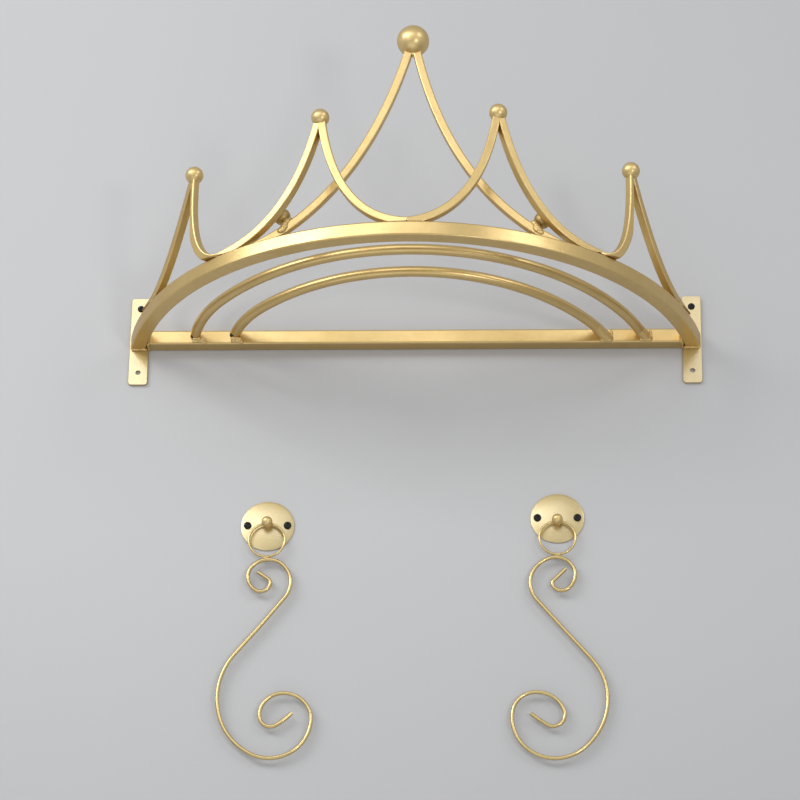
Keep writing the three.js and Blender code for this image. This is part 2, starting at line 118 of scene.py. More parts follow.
class Tree:
    """A node tree while it is being written."""

    def __init__(self, tree: bpy.types.NodeTree) -> None:
        """Keeps the tree that new nodes join."""
        self.tree = tree

    def add(
        self, kind: str, inputs: dict[object, object] | None = None, **settings: object
    ) -> bpy.types.Node:
        """Adds a node.

        Args:
            kind: Blender's type name of the node.
            inputs: Socket name or index to what fills it.
            **settings: The node's own properties, set before its inputs.

        Returns:
            The new node.
        """
        node = self.tree.nodes.new(kind)
        for key, setting in settings.items():
            setattr(node, key, setting)
        for key, given in (inputs or {}).items():
            self.fill(node.inputs[key], given)
        return node

    def value(
        self,
        kind: str,
        output: object,
        inputs: dict[object, object] | None = None,
        **settings: object,
    ) -> Value:
        """Adds a node like add does and returns the output of a given name or index."""
        return Value(self, self.add(kind, inputs, **settings).outputs[output])

    def fill(self, socket: bpy.types.NodeSocket, given: object) -> None:
        """Links or sets one input socket.

        Args:
            socket: The socket to fill.
            given: A Value, a socket, a node for its first output, a colour, or a plain value.
        """
        if isinstance(given, Value):
            given = given.socket
        elif isinstance(given, bpy.types.Node):
            given = given.outputs[0]
        if isinstance(given, bpy.types.NodeSocket):
            self.tree.links.new(given, socket)
        elif isinstance(given, tuple) and socket.type == "RGBA":
            socket.default_value = (*given, 1.0)
        else:
            socket.default_value = given


class Recipe(Tree):
    """The node tree of one material."""

    def __init__(self, name: str) -> None:
        """Starts an empty node material with a given name."""
        self.material = bpy.data.materials.new(name)
        self.material.use_nodes = True
        super().__init__(self.material.node_tree)
        self.tree.nodes.clear()

    def place(self) -> bpy.types.NodeSocket:
        """Returns the point on the piece, in metres in the object's own frame."""
        return self.add("ShaderNodeTexCoord").outputs["Object"]

    def noise(self, scale: float, detail: float = 3.0, roughness: float = 0.5) -> Value:
        """Adds a noise pattern.

        Args:
            scale: Cells per metre.
            detail: Octaves.
            roughness: Share that each finer octave keeps.

        Returns:
            The pattern, about 0.5 in the mean.
        """
        inputs = {"Vector": self.place(), "Scale": scale, "Detail": detail, "Roughness": roughness}
        return self.value("ShaderNodeTexNoise", "Fac", inputs)

    def band(self, value: Value, low: float, high: float) -> Value:
        """Stretches a value so that low becomes 0 and high becomes 1, held at both ends."""
        inputs = {"Value": value, "From Min": low, "From Max": high}
        return self.value("ShaderNodeMapRange", "Result", inputs, clamp=True)

    def mix(self, share: Value, first: object, second: object) -> bpy.types.NodeSocket:
        """Returns the first colour where the share is 0 and the second where it is 1."""
        inputs = {0: share, 6: first, 7: second}
        return self.add("ShaderNodeMix", inputs, data_type="RGBA").outputs[2]

    def bump(self, height: Value, strength: float, distance: float) -> bpy.types.NodeSocket:
        """Returns the normal bent by a height pattern, whose full height is a distance."""
        inputs = {"Strength": strength, "Distance": distance, "Height": height}
        return self.add("ShaderNodeBump", inputs).outputs["Normal"]

    def end(self, shader: bpy.types.Node) -> bpy.types.Material:
        """Ends the tree with a shader and returns the finished material."""
        self.add("ShaderNodeOutputMaterial", {"Surface": shader})
        return self.material

    def surface(self, **inputs: object) -> bpy.types.Material:
        """Ends the tree with the common shader.

        Args:
            **inputs: Sockets of the shader, with underscores for spaces.

        Returns:
            The finished material.
        """
        named = {key.replace("_", " "): given for key, given in inputs.items()}
        return self.end(self.add("ShaderNodeBsdfPrincipled", named))


# ---- Finishes ----


@dataclass(frozen=True)
class SatinGold:
    """Sprayed satin gold paint over steel, with a fine orange peel and a faint mottle."""

    name: str
    light: Colour = (0.655, 0.475, 0.188)
    deep: Colour = (0.575, 0.400, 0.138)
    rim_tint: Colour = (0.70, 0.52, 0.30)
    roughness: float = 0.29
    roughness_spread: float = 0.10
    metallic: float = 0.90
    coat: float = 0.8
    coat_ior: float = 1.6
    coat_roughness: float = 0.24
    peel: float = 0.22
    peel_scale: float = 420.0
    peel_depth: float = 0.0006
    lumps: float = 0.0
    lump_scale: float = 900.0
    lump_depth: float = 0.0008
    mottle_scale: float = 26.0
    cloud_scale: float = 150.0
    flake_scale: float = 2600.0

    def material(self) -> bpy.types.Material:
        """Returns the paint as a node material."""
        recipe = Recipe(self.name)
        mottle = recipe.band(recipe.noise(self.mottle_scale, 4.0, 0.6), 0.34, 0.68)
        flake = recipe.band(recipe.noise(self.flake_scale, 1.0), 0.3, 0.75)
        cloud = recipe.band(recipe.noise(self.cloud_scale, 3.0, 0.6), 0.3, 0.72)
        share = mottle * 0.55 + cloud * 0.30 + flake * 0.15
        uneven = 0.5 * cloud + 0.3 * flake + 0.2 * mottle
        peel = recipe.noise(self.peel_scale, 2.0, 0.45)
        if self.lumps:
            peel = peel * 0.5 + recipe.noise(self.lump_scale, 3.0, 0.6) * (0.5 + self.lumps)
        depth = self.peel_depth + self.lump_depth * self.lumps
        return recipe.surface(
            Base_Color=recipe.mix(share, self.light, self.deep),
            Metallic=self.metallic,
            Roughness=self.roughness + self.roughness_spread * uneven,
            Specular_Tint=self.rim_tint,
            Coat_Weight=self.coat,
            Coat_IOR=self.coat_ior,
            Coat_Roughness=self.coat_roughness,
            Normal=recipe.bump(peel, self.peel, depth),
        )


@dataclass(frozen=True)
class PaintedCreviceShade:
    """Near-black steel colour with a faint brown mottle, painted shade: it stands in the wedge
    behind the open rod ends for the crevice's shadow and the dark bore reflected in the bar's
    face.
    """

    name: str
    dark: Colour = (0.018, 0.014, 0.010)
    shade_brown: Colour = (0.060, 0.036, 0.018)
    scale: float = 380.0

    def material(self) -> bpy.types.Material:
        """Returns the finish as a node material."""
        recipe = Recipe(self.name)
        scale = recipe.band(recipe.noise(self.scale, 4.0, 0.7), 0.4, 0.7)
        colour = recipe.mix(scale, self.dark, self.shade_brown)
        return recipe.surface(Base_Color=colour, Metallic=0.2, Roughness=0.7 + 0.2 * scale)


@dataclass(frozen=True)
class BlackOxide:
    """Blackened screw steel, worn a little brighter in patches."""

    name: str
    dark: Colour = (0.012, 0.012, 0.013)
    worn: Colour = (0.050, 0.048, 0.046)
    wear_scale: float = 700.0
    grain_scale: float = 2200.0

    def material(self) -> bpy.types.Material:
        """Returns the finish as a node material."""
        recipe = Recipe(self.name)
        wear = recipe.band(recipe.noise(self.wear_scale, 4.0, 0.7), 0.5, 0.78)
        grain = recipe.noise(self.grain_scale, 2.0)
        return recipe.surface(
            Base_Color=recipe.mix(wear, self.dark, self.worn),
            Metallic=0.6,
            Roughness=0.34 + 0.25 * grain,
            Normal=recipe.bump(grain, 0.2, 0.0002),
        )


@dataclass(frozen=True)
class PaleWall:
    """Painted backdrop with painted shade that darkens it towards the right, the bottom and a
    little towards the top, seen only from its front so that the back can be viewed too.

    Rounds are given by middle across, middle height and radius, boxes by middle across, middle
    height, half width and half height. Shut rounds lie inside an opening.
    """

    name: str
    tone: Colour
    open_rounds: tuple[tuple[float, float, float], ...] = ()
    open_boxes: tuple[tuple[float, float, float, float], ...] = ()
    shut_rounds: tuple[tuple[float, float, float], ...] = ()
    # Share of the tone kept where the painted shade is deepest.
    shade: float = 0.8
    across_band: tuple[float, float] = (-0.30, 0.70)
    low_band: tuple[float, float] = (0.22, 0.62)
    high_band: tuple[float, float] = (-0.10, 0.40)
    band_shares: tuple[float, float, float] = (0.55, 0.55, 0.17)
    plaster_scale: float = 60.0

    def covered(self, across: Value, height: Value) -> Value | float:
        """Marks what stands right behind the pieces, where light from the back must get in.

        Args:
            across: Place along the wall.
            height: Height on the wall.

        Returns:
            A value of 1 or more inside an opening and 0 or less elsewhere.
        """
        total = 0.0
        for rounds, share in ((self.open_rounds, 1.0), (self.shut_rounds, -1.0)):
            for x, z, radius in rounds:
                off, up = across - x, height - z
                total = total + share * (off * off + up * up).below(radius * radius)
        for x, z, half_width, half_height in self.open_boxes:
            off, up = across - x, height - z
            inside = (off * off).below(half_width * half_width)
            total = total + inside * (up * up).below(half_height * half_height)
        return total

    def material(self) -> bpy.types.Material:
        """Returns the backdrop as a node material."""
        recipe = Recipe(self.name)
        split = recipe.add("ShaderNodeSeparateXYZ", {0: recipe.place()})
        across, height = (Value(recipe, split.outputs[axis]) for axis in "XZ")
        # Painted shade: the tone is mixed towards a darker one to the right, towards the bottom
        # and a little towards the top, standing in for the studio light's falloff.
        bands = (
            recipe.band(across, *self.across_band),
            recipe.band(0.0 - height, *self.low_band),
            recipe.band(height, *self.high_band),
        )
        first, second, third = (share * part for share, part in zip(self.band_shares, bands))
        darker = tuple(channel * self.shade for channel in self.tone)
        inputs = {
            "Base Color": recipe.mix(first + second + third, self.tone, darker),
            "Roughness": 0.9,
            "Normal": recipe.bump(recipe.noise(self.plaster_scale, 4.0), 0.05, 0.0005),
        }
        paint = recipe.add("ShaderNodeBsdfPrincipled", inputs)
        clear = recipe.add("ShaderNodeBsdfTransparent")
        behind = recipe.value("ShaderNodeNewGeometry", "Backfacing") + self.covered(across, height)
        return recipe.end(recipe.add("ShaderNodeMixShader", {0: behind, 1: paint, 2: clear}))


# ---- Mesh making ----


@dataclass
class Station:
    """One cross-section of a swept piece: its middle and the two directions of its outline."""

    middle: Vector
    across: Vector
    along_up: Vector

    def ring(self, outline: Outline) -> list[Vector]:
        """Returns the points of an outline that is laid on the section."""
        return [self.middle + self.across * u + self.along_up * v for u, v in outline]


def stations_along(line: Sequence[Vector]) -> list[Station]:
    """Makes upright cross-sections square to a line.

    Args:
        line: Points of the line.

    Returns:
        A station at each point.
    """
    stations = []
    for i, middle in enumerate(line):
        ahead = line[min(i + 1, len(line) - 1)] - line[max(i - 1, 0)]
        ahead.normalize()
        across = ahead.cross(UP).normalized()
        stations.append(Station(middle, across, across.cross(ahead).normalized()))
    return stations


def placed(name: str, data: bpy.types.ID) -> bpy.types.Object:
    """Adds an object to the scene at the origin.

    Args:
        name: Name of the object.
        data: The mesh, light or camera that it holds.

    Returns:
        The new object.
    """
    thing = bpy.data.objects.new(name, data)
    bpy.context.scene.collection.objects.link(thing)
    return thing


def shade(mesh: bpy.types.Mesh, sharp: float) -> None:
    """Shades a mesh smooth but for the edges above an angle in degrees."""
    mesh.polygons.foreach_set("use_smooth", [True] * len(mesh.polygons))
    mesh.set_sharp_from_angle(angle=math.radians(sharp))


def evaluated_mesh(thing: bpy.types.Object) -> bpy.types.Mesh:
    """Returns a new mesh of what an object's modifiers make of it."""
    graph = bpy.context.evaluated_depsgraph_get()
    return bpy.data.meshes.new_from_object(thing.evaluated_get(graph))


def finished(name: str, bm: bmesh.types.BMesh, sharp: float = 40.0) -> bpy.types.Object:
    """Turns millimetre geometry into a smooth-shaded object in metres at the origin.

    Args:
        name: Name of the piece.
        bm: Geometry in millimetres; it is freed.
        sharp: Angle in degrees above which an edge stays sharp.

    Returns:
        The new object.
    """
    bmesh.ops.remove_doubles(bm, verts=bm.verts, dist=1e-4)
    bmesh.ops.recalc_face_normals(bm, faces=bm.faces)
    bmesh.ops.scale(bm, vec=(MM, MM, MM), verts=bm.verts)
    mesh = bpy.data.meshes.new(name)
    bm.to_mesh(mesh)
    bm.free()
    shade(mesh, sharp)
    return placed(name, mesh)


def carve(piece: bpy.types.Object, cutters: Sequence[bpy.types.Object], sharp: float) -> None:
    """Cuts other solids out of a piece and keeps the result as its mesh.

    Args:
        piece: The piece to cut.
        cutters: Solids to take away; they are removed.
        sharp: Angle in degrees above which an edge stays sharp.
    """
    for cutter in cutters:
        cut = piece.modifiers.new("cut", "BOOLEAN")
        cut.operation = "DIFFERENCE"
        cut.solver = "EXACT"
        cut.object = cutter
    mesh = evaluated_mesh(piece)
    piece.modifiers.clear()
    piece.data = mesh
    mesh.name = piece.name
    shade(mesh, sharp)
    for cutter in cutters:
        bpy.data.objects.remove(cutter)


def dress(
    piece: bpy.types.Object,
    material: bpy.types.Material,
    slot: Slot,
    nodes: Iterable[str] = (),
    body: str = WALL_BODY,
) -> bpy.types.Object:
    """Gives a piece its finish and its place in the frame.

    Args:
        piece: The piece.
        material: Its finish.
        slot: Record slot that the finish belongs to; not used.
        nodes: CAD nodes that it stands for.
        body: Body that it rides on.

    Returns:
        The same piece.
    """
    piece.data.materials.clear()
    piece.data.materials.append(material)
    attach(piece, body)
    for node in nodes:
        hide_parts(node)
    log.info("%s: %d faces", piece.name, len(piece.data.polygons))
    return piece


def make(
    name: str,
    bm: bmesh.types.BMesh,
    material: bpy.types.Material,
    slot: Slot,
    nodes: Iterable[str] = (),
    sharp: float = 40.0,
    cutters: Sequence[bmesh.types.BMesh] = (),
) -> bpy.types.Object:
    """Makes a piece of the wall parts from millimetre geometry.

    Args:
        name: Name of the piece.
        bm: Geometry; it is freed.
        material: Its finish.
        slot: Record slot that the finish belongs to.
        nodes: CAD nodes that it stands for.
        sharp: Angle in degrees above which an edge stays sharp.
        cutters: Geometry to take away; it is freed.

    Returns:
        The finished piece.
    """
    piece = finished(name, bm, sharp)
    if cutters:
        carve(piece, [finished("cutter", cutter) for cutter in cutters], sharp)
    return dress(piece, material, slot, nodes)


def rounded_square(width: float, corner: float, steps: int = 4, support: float = 0.14) -> Outline:
    """Makes the outline of a bar or a tube with rounded corners.

    Args:
        width: Width across the flats.
        corner: Corner radius.
        steps: Facets in each corner.
        support: Distance from the corner to the point that keeps each flat flat.

    Returns:
        Outline points, anticlockwise.
    """
    reach = width / 2 - corner
    points: Outline = []
    for quarter in range(4):
        turn = Matrix.Rotation(quarter * math.pi / 2, 2)
        own = [(width / 2, reach - support)]
        for step in range(steps + 1):
            angle = step / steps * math.pi / 2
            own.append((reach + corner * math.cos(angle), reach + corner * math.sin(angle)))
        own.append((reach - support, width / 2))
        points += [tuple(turn @ Vector(point)) for point in own]
    return points


def circle(diameter: float, sides: int) -> Outline:
    """Returns a circle as outline points, anticlockwise."""
    turns = [2 * math.pi * side / sides for side in range(sides)]
    return [(math.cos(t) * diameter / 2, math.sin(t) * diameter / 2) for t in turns]


def join(bm: bmesh.types.BMesh, rows: Sequence[Sequence[bmesh.types.BMVert]]) -> None:
    """Joins each row of vertices with the next, with triangles round a row of one.

    Args:
        bm: Mesh to add to.
        rows: Rings of equally many vertices, or single vertices.
    """
    for near, far in zip(rows, rows[1:]):
        count = max(len(near), len(far))
        for i in range(count):
            pair = (i, (i + 1) % count)
            corners = [near[k % len(near)] for k in pair] + [far[k % len(far)] for k in pair[::-1]]
            face = list(dict.fromkeys(corners))
            if len(face) > 2:
                bm.faces.new(face)


def lay(
    bm: bmesh.types.BMesh, rings: Iterable[Iterable[Vector]]
) -> list[list[bmesh.types.BMVert]]:
    """Adds rings of points and joins each with the next.

    Args:
        bm: Mesh to add to.
        rings: The rings in order.

    Returns:
        The row of vertices of each ring.
    """
    rows = [[bm.verts.new(point) for point in ring] for ring in rings]
    join(bm, rows)
    return rows


def loft(rings: Iterable[Iterable[Vector]]) -> bmesh.types.BMesh:
    """Makes the solid between rings of points.

    Args:
        rings: The rings in order; a ring of one point is a pole.

    Returns:
        The closed geometry.
    """
    bm = bmesh.new()
    rows = lay(bm, rings)
    for row in (rows[0], rows[-1]):
        if len(row) > 1:
            bm.faces.new(row)
    return bm


def sweep(stations: Sequence[Station], outline: Outline) -> bmesh.types.BMesh:
    """Returns a swept bar with flat ends."""
    return loft(station.ring(outline) for station in stations)


def hollow(stations: Sequence[Station], outer: Outline, inner: Outline) -> bmesh.types.BMesh:
    """Makes a swept tube that is open at both ends, with a rim at each.

    Args:
        stations: Cross-sections in order.
        outer: Outline of the tube.
        inner: Outline of the bore, with as many points.

    Returns:
        The geometry.
    """
    bm = bmesh.new()
    outside, inside = (lay(bm, [s.ring(outline) for s in stations]) for outline in (outer, inner))
    for end in (0, -1):
        join(bm, (outside[end], inside[end]))
    return bm


def trim(bm: bmesh.types.BMesh, point: Vector, normal: Vector) -> None:
    """Cuts away what lies on the side of a plane that its normal points to, and closes the cut.

    Args:
        bm: Closed geometry.
        point: A point on the plane.
        normal: Direction of the waste.
    """
    parts = bm.verts[:] + bm.edges[:] + bm.faces[:]
    bmesh.ops.bisect_plane(
        bm, geom=parts, dist=1e-5, plane_co=point, plane_no=normal, clear_outer=True
    )
    rim = [edge for edge in bm.edges if edge.is_boundary]
    if rim:
        bmesh.ops.holes_fill(bm, edges=rim, sides=0)


def turned(profile: Outline, sides: int, base: Vector, axis: Vector) -> bmesh.types.BMesh:
    """Makes a body of revolution.

    Args:
        profile: Radius and height of each profile point, from the lowest to the highest.
        sides: Facets round the axis.
        base: Place of height zero on the axis.
        axis: Direction of growing height.

    Returns:
        The closed geometry.
    """
    spin = UP.rotation_difference(axis.normalized()).to_matrix()
    rings = []
    for radius, height in profile:
        round_points = circle(2 * radius, sides) if radius > 1e-6 else [(0.0, 0.0)]
        rings.append([base + spin @ Vector((u, v, height)) for u, v in round_points])
    return loft(rings)


def drill(
    diameter: float, reach: tuple[float, float], sides: int, base: Vector, axis: Vector
) -> bmesh.types.BMesh:
    """Returns the cylinder that cuts a hole, from one height on its axis to another."""
    return turned([(diameter / 2, height) for height in reach], sides, base, axis)


def ball_profile(diameter: float, centre: float, start: float, steps: int) -> Outline:
    """Makes a ball's profile from one height above its centre up to its pole.

    Args:
        diameter: Ball diameter.
        centre: Height of the ball's centre.
        start: Height above the centre where the profile starts.
        steps: Number of facets.

    Returns:
        Radius and height of each point.
    """
    first = math.asin(2 * start / diameter)
    radius = diameter / 2
    points: Outline = []
    for step in range(steps):
        angle = first + (math.pi / 2 - first) * step / steps
        points.append((math.cos(angle) * radius, centre + math.sin(angle) * radius))
    points.append((0.0, centre + radius))
    return points


# ---- Geometry Nodes ----


class Grower(Tree):
    """A Geometry Nodes tree and the pieces that it grows."""

    def __init__(self, name: str, **numbers: float) -> None:
        """Starts the tree.

        Args:
            name: Name of the tree.
            **numbers: Default of each input, with underscores for spaces in its name.
        """
        super().__init__(bpy.data.node_groups.new(name, "GeometryNodeTree"))
        kinds = {float: "NodeSocketFloat", int: "NodeSocketInt", bool: "NodeSocketBool"}
        face = self.tree.interface
        face.new_socket("Geometry", in_out="INPUT", socket_type="NodeSocketGeometry")
        face.new_socket("Geometry", in_out="OUTPUT", socket_type="NodeSocketGeometry")
        paint = face.new_socket("Material", in_out="INPUT", socket_type="NodeSocketMaterial")
        self.identifiers: dict[str, str] = {"Material": paint.identifier}
        for key, default in numbers.items():
            title = key.replace("_", " ")
            socket = face.new_socket(title, in_out="INPUT", socket_type=kinds[type(default)])
            socket.default_value = default
            self.identifiers[title] = socket.identifier
        self.start = self.add("NodeGroupInput")

    def given(self, name: str) -> bpy.types.NodeSocket:
        """Returns the tree's own input of that name."""
        return self.start.outputs[name]

    def number(self, name: str) -> Value:
        """Returns the tree's own input of that name for use in expressions."""
        return Value(self, self.given(name))

    def bead(self) -> Value:
        """Returns the size that the seed mesh gives each point."""
        inputs = {"Name": "bead"}
        return self.value(
            "GeometryNodeInputNamedAttribute", "Attribute", inputs, data_type="FLOAT"
        )

    def random(self, low: object, high: object) -> Value:
        """Returns a number between two limits for each point, from the tree's seed."""
        inputs = {2: low, 3: high, "Seed": self.given("Seed")}
        return self.value("FunctionNodeRandomValue", 1, inputs, data_type="FLOAT")

    def triple(self, x: object, y: object, z: object) -> bpy.types.Node:
        """Returns a vector made of three numbers."""
        return self.add("ShaderNodeCombineXYZ", {0: x, 1: y, 2: z})

    def scatter(self, points: object, instance: object, **inputs: object) -> bpy.types.Node:
        """Returns the instances of a thing on all points."""
        inputs |= {"Points": points, "Instance": instance}
        return self.add("GeometryNodeInstanceOnPoints", inputs)

    def real(self, geometry: object) -> bpy.types.Node:
        """Returns the geometry with its instances made real."""
        return self.add("GeometryNodeRealizeInstances", {0: geometry})

    def joined(self, *parts: object) -> bpy.types.Node:
        """Adds a node that joins geometries.

        Args:
            *parts: The geometries in order.

        Returns:
            The new node.
        """
        node = self.add("GeometryNodeJoinGeometry")
        for part in parts:
            self.fill(node.inputs[0], part)
        return node

    def end(self, geometry: object) -> None:
        """Ends the tree with smooth shading, Realize Instances and Set Material.

        Args:
            geometry: What the tree has grown.
        """
        whole = self.real(self.add("GeometryNodeSetShadeSmooth", {0: geometry}))
        inputs = {"Geometry": whole, "Material": self.given("Material")}
        self.add("NodeGroupOutput", {0: self.add("GeometryNodeSetMaterial", inputs)})

    def grow(
        self, name: str, seed_mesh: bpy.types.Mesh, sharp: float | None, **numbers: object
    ) -> bpy.types.Object:
        """Runs the tree on a mesh and keeps the result as a plain object.

        Args:
            name: Name of the new piece.
            seed_mesh: Mesh that the tree starts from.
            sharp: Angle in degrees above which an edge is made sharp, or None for no such edge.
            **numbers: Value of each input, with underscores for spaces in its name.

        Returns:
            The grown piece, without modifiers.
        """
        holder = placed(name + "_seed", seed_mesh)
        grown = holder.modifiers.new("grow", "NODES")
        grown.node_group = self.tree
        for key, number in numbers.items():
            grown[self.identifiers[key.replace("_", " ")]] = number
        mesh = evaluated_mesh(holder)
        bpy.data.objects.remove(holder)
        mesh.name = name
        if sharp is not None:
            mesh.set_sharp_from_angle(angle=math.radians(sharp))
        return placed(name, mesh)


def polylines(
    name: str, lines: Sequence[Sequence[Vector]], sizes: Sequence[float]
) -> bpy.types.Mesh:
    """Makes a mesh of bare edges for a tree to follow.

    Args:
        name: Name of the mesh.
        lines: Points of each line, in millimetres.
        sizes: Bead radius of each line in millimetres, kept as the attribute "bead".

    Returns:
        The mesh in metres.
    """
    points: list[Vector] = []
    edges: list[tuple[int, int]] = []
    radii: list[float] = []
    for line, size in zip(lines, sizes):
        first = len(points)
        points += [point * MM for point in line]
        edges += [(first + i, first + i + 1) for i in range(len(line) - 1)]
        radii += [size * MM] * len(line)
    mesh = bpy.data.meshes.new(name)
    mesh.from_pydata(points, edges, [])
    mesh.attributes.new("bead", "FLOAT", "POINT").data.foreach_set("value", radii)
    return mesh


def bent_wire_tree() -> Grower:
    """Makes the tree that draws round wire along bare edges, with hand-bent dents.

    Returns:
        The tree.
    """
    grower = Grower("bent_wire", Wire_Radius=0.002, Sides=20, Dent=0.00005, Closed=False)
    add, given = grower.add, grower.given
    curve = add("GeometryNodeMeshToCurve", {"Mesh": given("Geometry")})
    looped = add("GeometryNodeSetSplineCyclic", {"Geometry": curve, "Cyclic": given("Closed")})
    sizes = {"Resolution": given("Sides"), "Radius": given("Wire Radius")}
    section = add("GeometryNodeCurvePrimitiveCircle", sizes)
    inputs = {"Curve": looped, "Profile Curve": section, "Fill Caps": True}
    wire = add("GeometryNodeCurveToMesh", inputs)
    dents = grower.value("ShaderNodeTexNoise", "Fac", {"Scale": 160.0, "Detail": 1.0})
    depth = (dents - 0.5) * grower.number("Dent")
    inputs = {0: add("GeometryNodeInputNormal"), "Scale": depth}
    push = add("ShaderNodeVectorMath", inputs, operation="SCALE")
    grower.end(add("GeometryNodeSetPosition", {"Geometry": wire, "Offset": push}))
    return grower


def weld_bead_tree() -> Grower:
    """Makes the tree that lays overlapping weld ripples along bare edges.

    Returns:
        The tree.
    """
    grower = Grower("weld_bead", Ripple_Spacing=0.0013, Roughness=0.16, Seed=3)
    add, given = grower.add, grower.given
    curve = add("GeometryNodeMeshToCurve", {"Mesh": given("Geometry")})
    inputs = {"Curve": curve, "Length": given("Ripple Spacing")}
    resampled = add("GeometryNodeResampleCurve", inputs, mode="LENGTH")
    ripple = add("GeometryNodeMeshIcoSphere", {"Radius": 1.0, "Subdivisions": 3})
    rough = grower.number("Roughness")
    size = grower.random(1.0 - rough, 1.0 + rough) * grower.bead()
    inputs = {0: (0.0, 0.0, 0.0), 1: (6.28, 6.28, 6.28), "Seed": given("Seed")}
    spin = add("FunctionNodeRandomValue", inputs, data_type="FLOAT_VECTOR")
    grower.end(grower.scatter(resampled, ripple, Scale=size, Rotation=spin))
    return grower


def screw_head_tree() -> Grower:
    """Makes the tree that seats one pan-head screw on each bare point, facing the room.

    Returns:
        The tree.
    """
    grower = Grower(
        "screw_heads",
        Head_Height=0.0022,
        Recess_Length=0.0038,
        Recess_Width=0.0009,
        Recess_Depth=0.0022,
        Recess_Lift=0.0024,
        Shank_Radius=0.0018,
        Shank_Tip=0.0002,
        Shank_Length=0.028,
        Twist=0.7,
        Seed=11,
    )
    add, given = grower.add, grower.given
    points = given("Geometry")
    dome = add("GeometryNodeMeshUVSphere", {"Segments": 40, "Rings": 24, "Radius": 1.0})
    x, y, z = add("ShaderNodeSeparateXYZ", {0: add("GeometryNodeInputPosition")}).outputs
    flat = grower.triple(x, y, add("ShaderNodeMath", {0: z, 1: 0.0}, operation="MAXIMUM"))
    pan = add("GeometryNodeSetPosition", {"Geometry": dome, "Position": flat})
    facing = add("FunctionNodeEulerToRotation", {0: (math.pi / 2, 0.0, 0.0)})
    twist = grower.random(0.0 - grower.number("Twist"), given("Twist"))
    spun = add("FunctionNodeEulerToRotation", {0: grower.triple(0.0, 0.0, twist)})
    both = add("FunctionNodeRotateRotation", {0: facing, 1: spun}, rotation_space="LOCAL")
    bead = grower.bead()
    size = grower.triple(bead, bead, given("Head Height"))
    heads = grower.scatter(points, pan, Rotation=both, Scale=size)
    arms = []
    for first, second in (("Length", "Width"), ("Width", "Length")):
        sides = (given("Recess " + first), given("Recess " + second), given("Recess Depth"))
        arms.append(add("GeometryNodeMeshCube", {"Size": grower.triple(*sides)}))
    lift = grower.triple(0.0, 0.0, given("Recess Lift"))
    inputs = {"Geometry": grower.joined(*arms), "Translation": lift}
    slots = grower.scatter(points, add("GeometryNodeTransform", inputs), Rotation=both)
    inputs = {"Mesh 1": grower.real(heads), "Mesh 2": grower.real(slots)}
    inputs["Self Intersection"] = True
    cut = add("GeometryNodeMeshBoolean", inputs, operation="DIFFERENCE", solver="EXACT")
    inputs = {"Vertices": 16, "Radius Top": given("Shank Tip")}
    inputs |= {"Radius Bottom": given("Shank Radius"), "Depth": given("Shank Length")}
    shank = add("GeometryNodeMeshCone", inputs)
    pushed = add("GeometryNodeTransform", {"Geometry": shank, "Rotation": (math.pi, 0.0, 0.0)})
    shanks = grower.scatter(points, pushed, Rotation=facing)
    grower.end(grower.joined(cut, shanks))
    return grower


# ---- Crown ----


@dataclass
class Welds:
    """Weld beads gathered from every sub-assembly, laid in one go for each body."""

    material: bpy.types.Material
    grower: Grower = field(default_factory=weld_bead_tree)
    beads: dict[str, list[tuple[list[Vector], float]]] = field(default_factory=dict)

    def add(self, line: Iterable[Vector], size: float, body: str = WALL_BODY) -> None:
        """Notes one bead by the points that it follows, its radius and its body."""
        self.beads.setdefault(body, []).append((list(line), size))

    def circle(self, centre: Vector, axis: Vector, radius: float, size: float) -> None:
        """Notes a bead all round an axis.

        Args:
            centre: Centre of the bead's circle.
            axis: Its axis.
            radius: Its radius.
            size: Radius of the bead itself.
        """
        spin = UP.rotation_difference(axis.normalized()).to_matrix()
        line = []
        for step in range(25):
            angle = math.radians(360.0 * step / 24)
            offset = Vector((math.cos(angle) * radius, math.sin(angle) * radius, 0))
            line.append(centre + spin @ offset)
        self.add(line, size)

    def build(self) -> None:
        """Grows the beads of each body."""
        for body, beads in self.beads.items():
            mesh = polylines(body + "_bead_lines", *zip(*beads))
            name = body + "_weld_beads"
            piece = self.grower.grow(name, mesh, None, Material=self.material, Seed=3)
            dress(piece, self.material, Slot.FRAME, (), body)


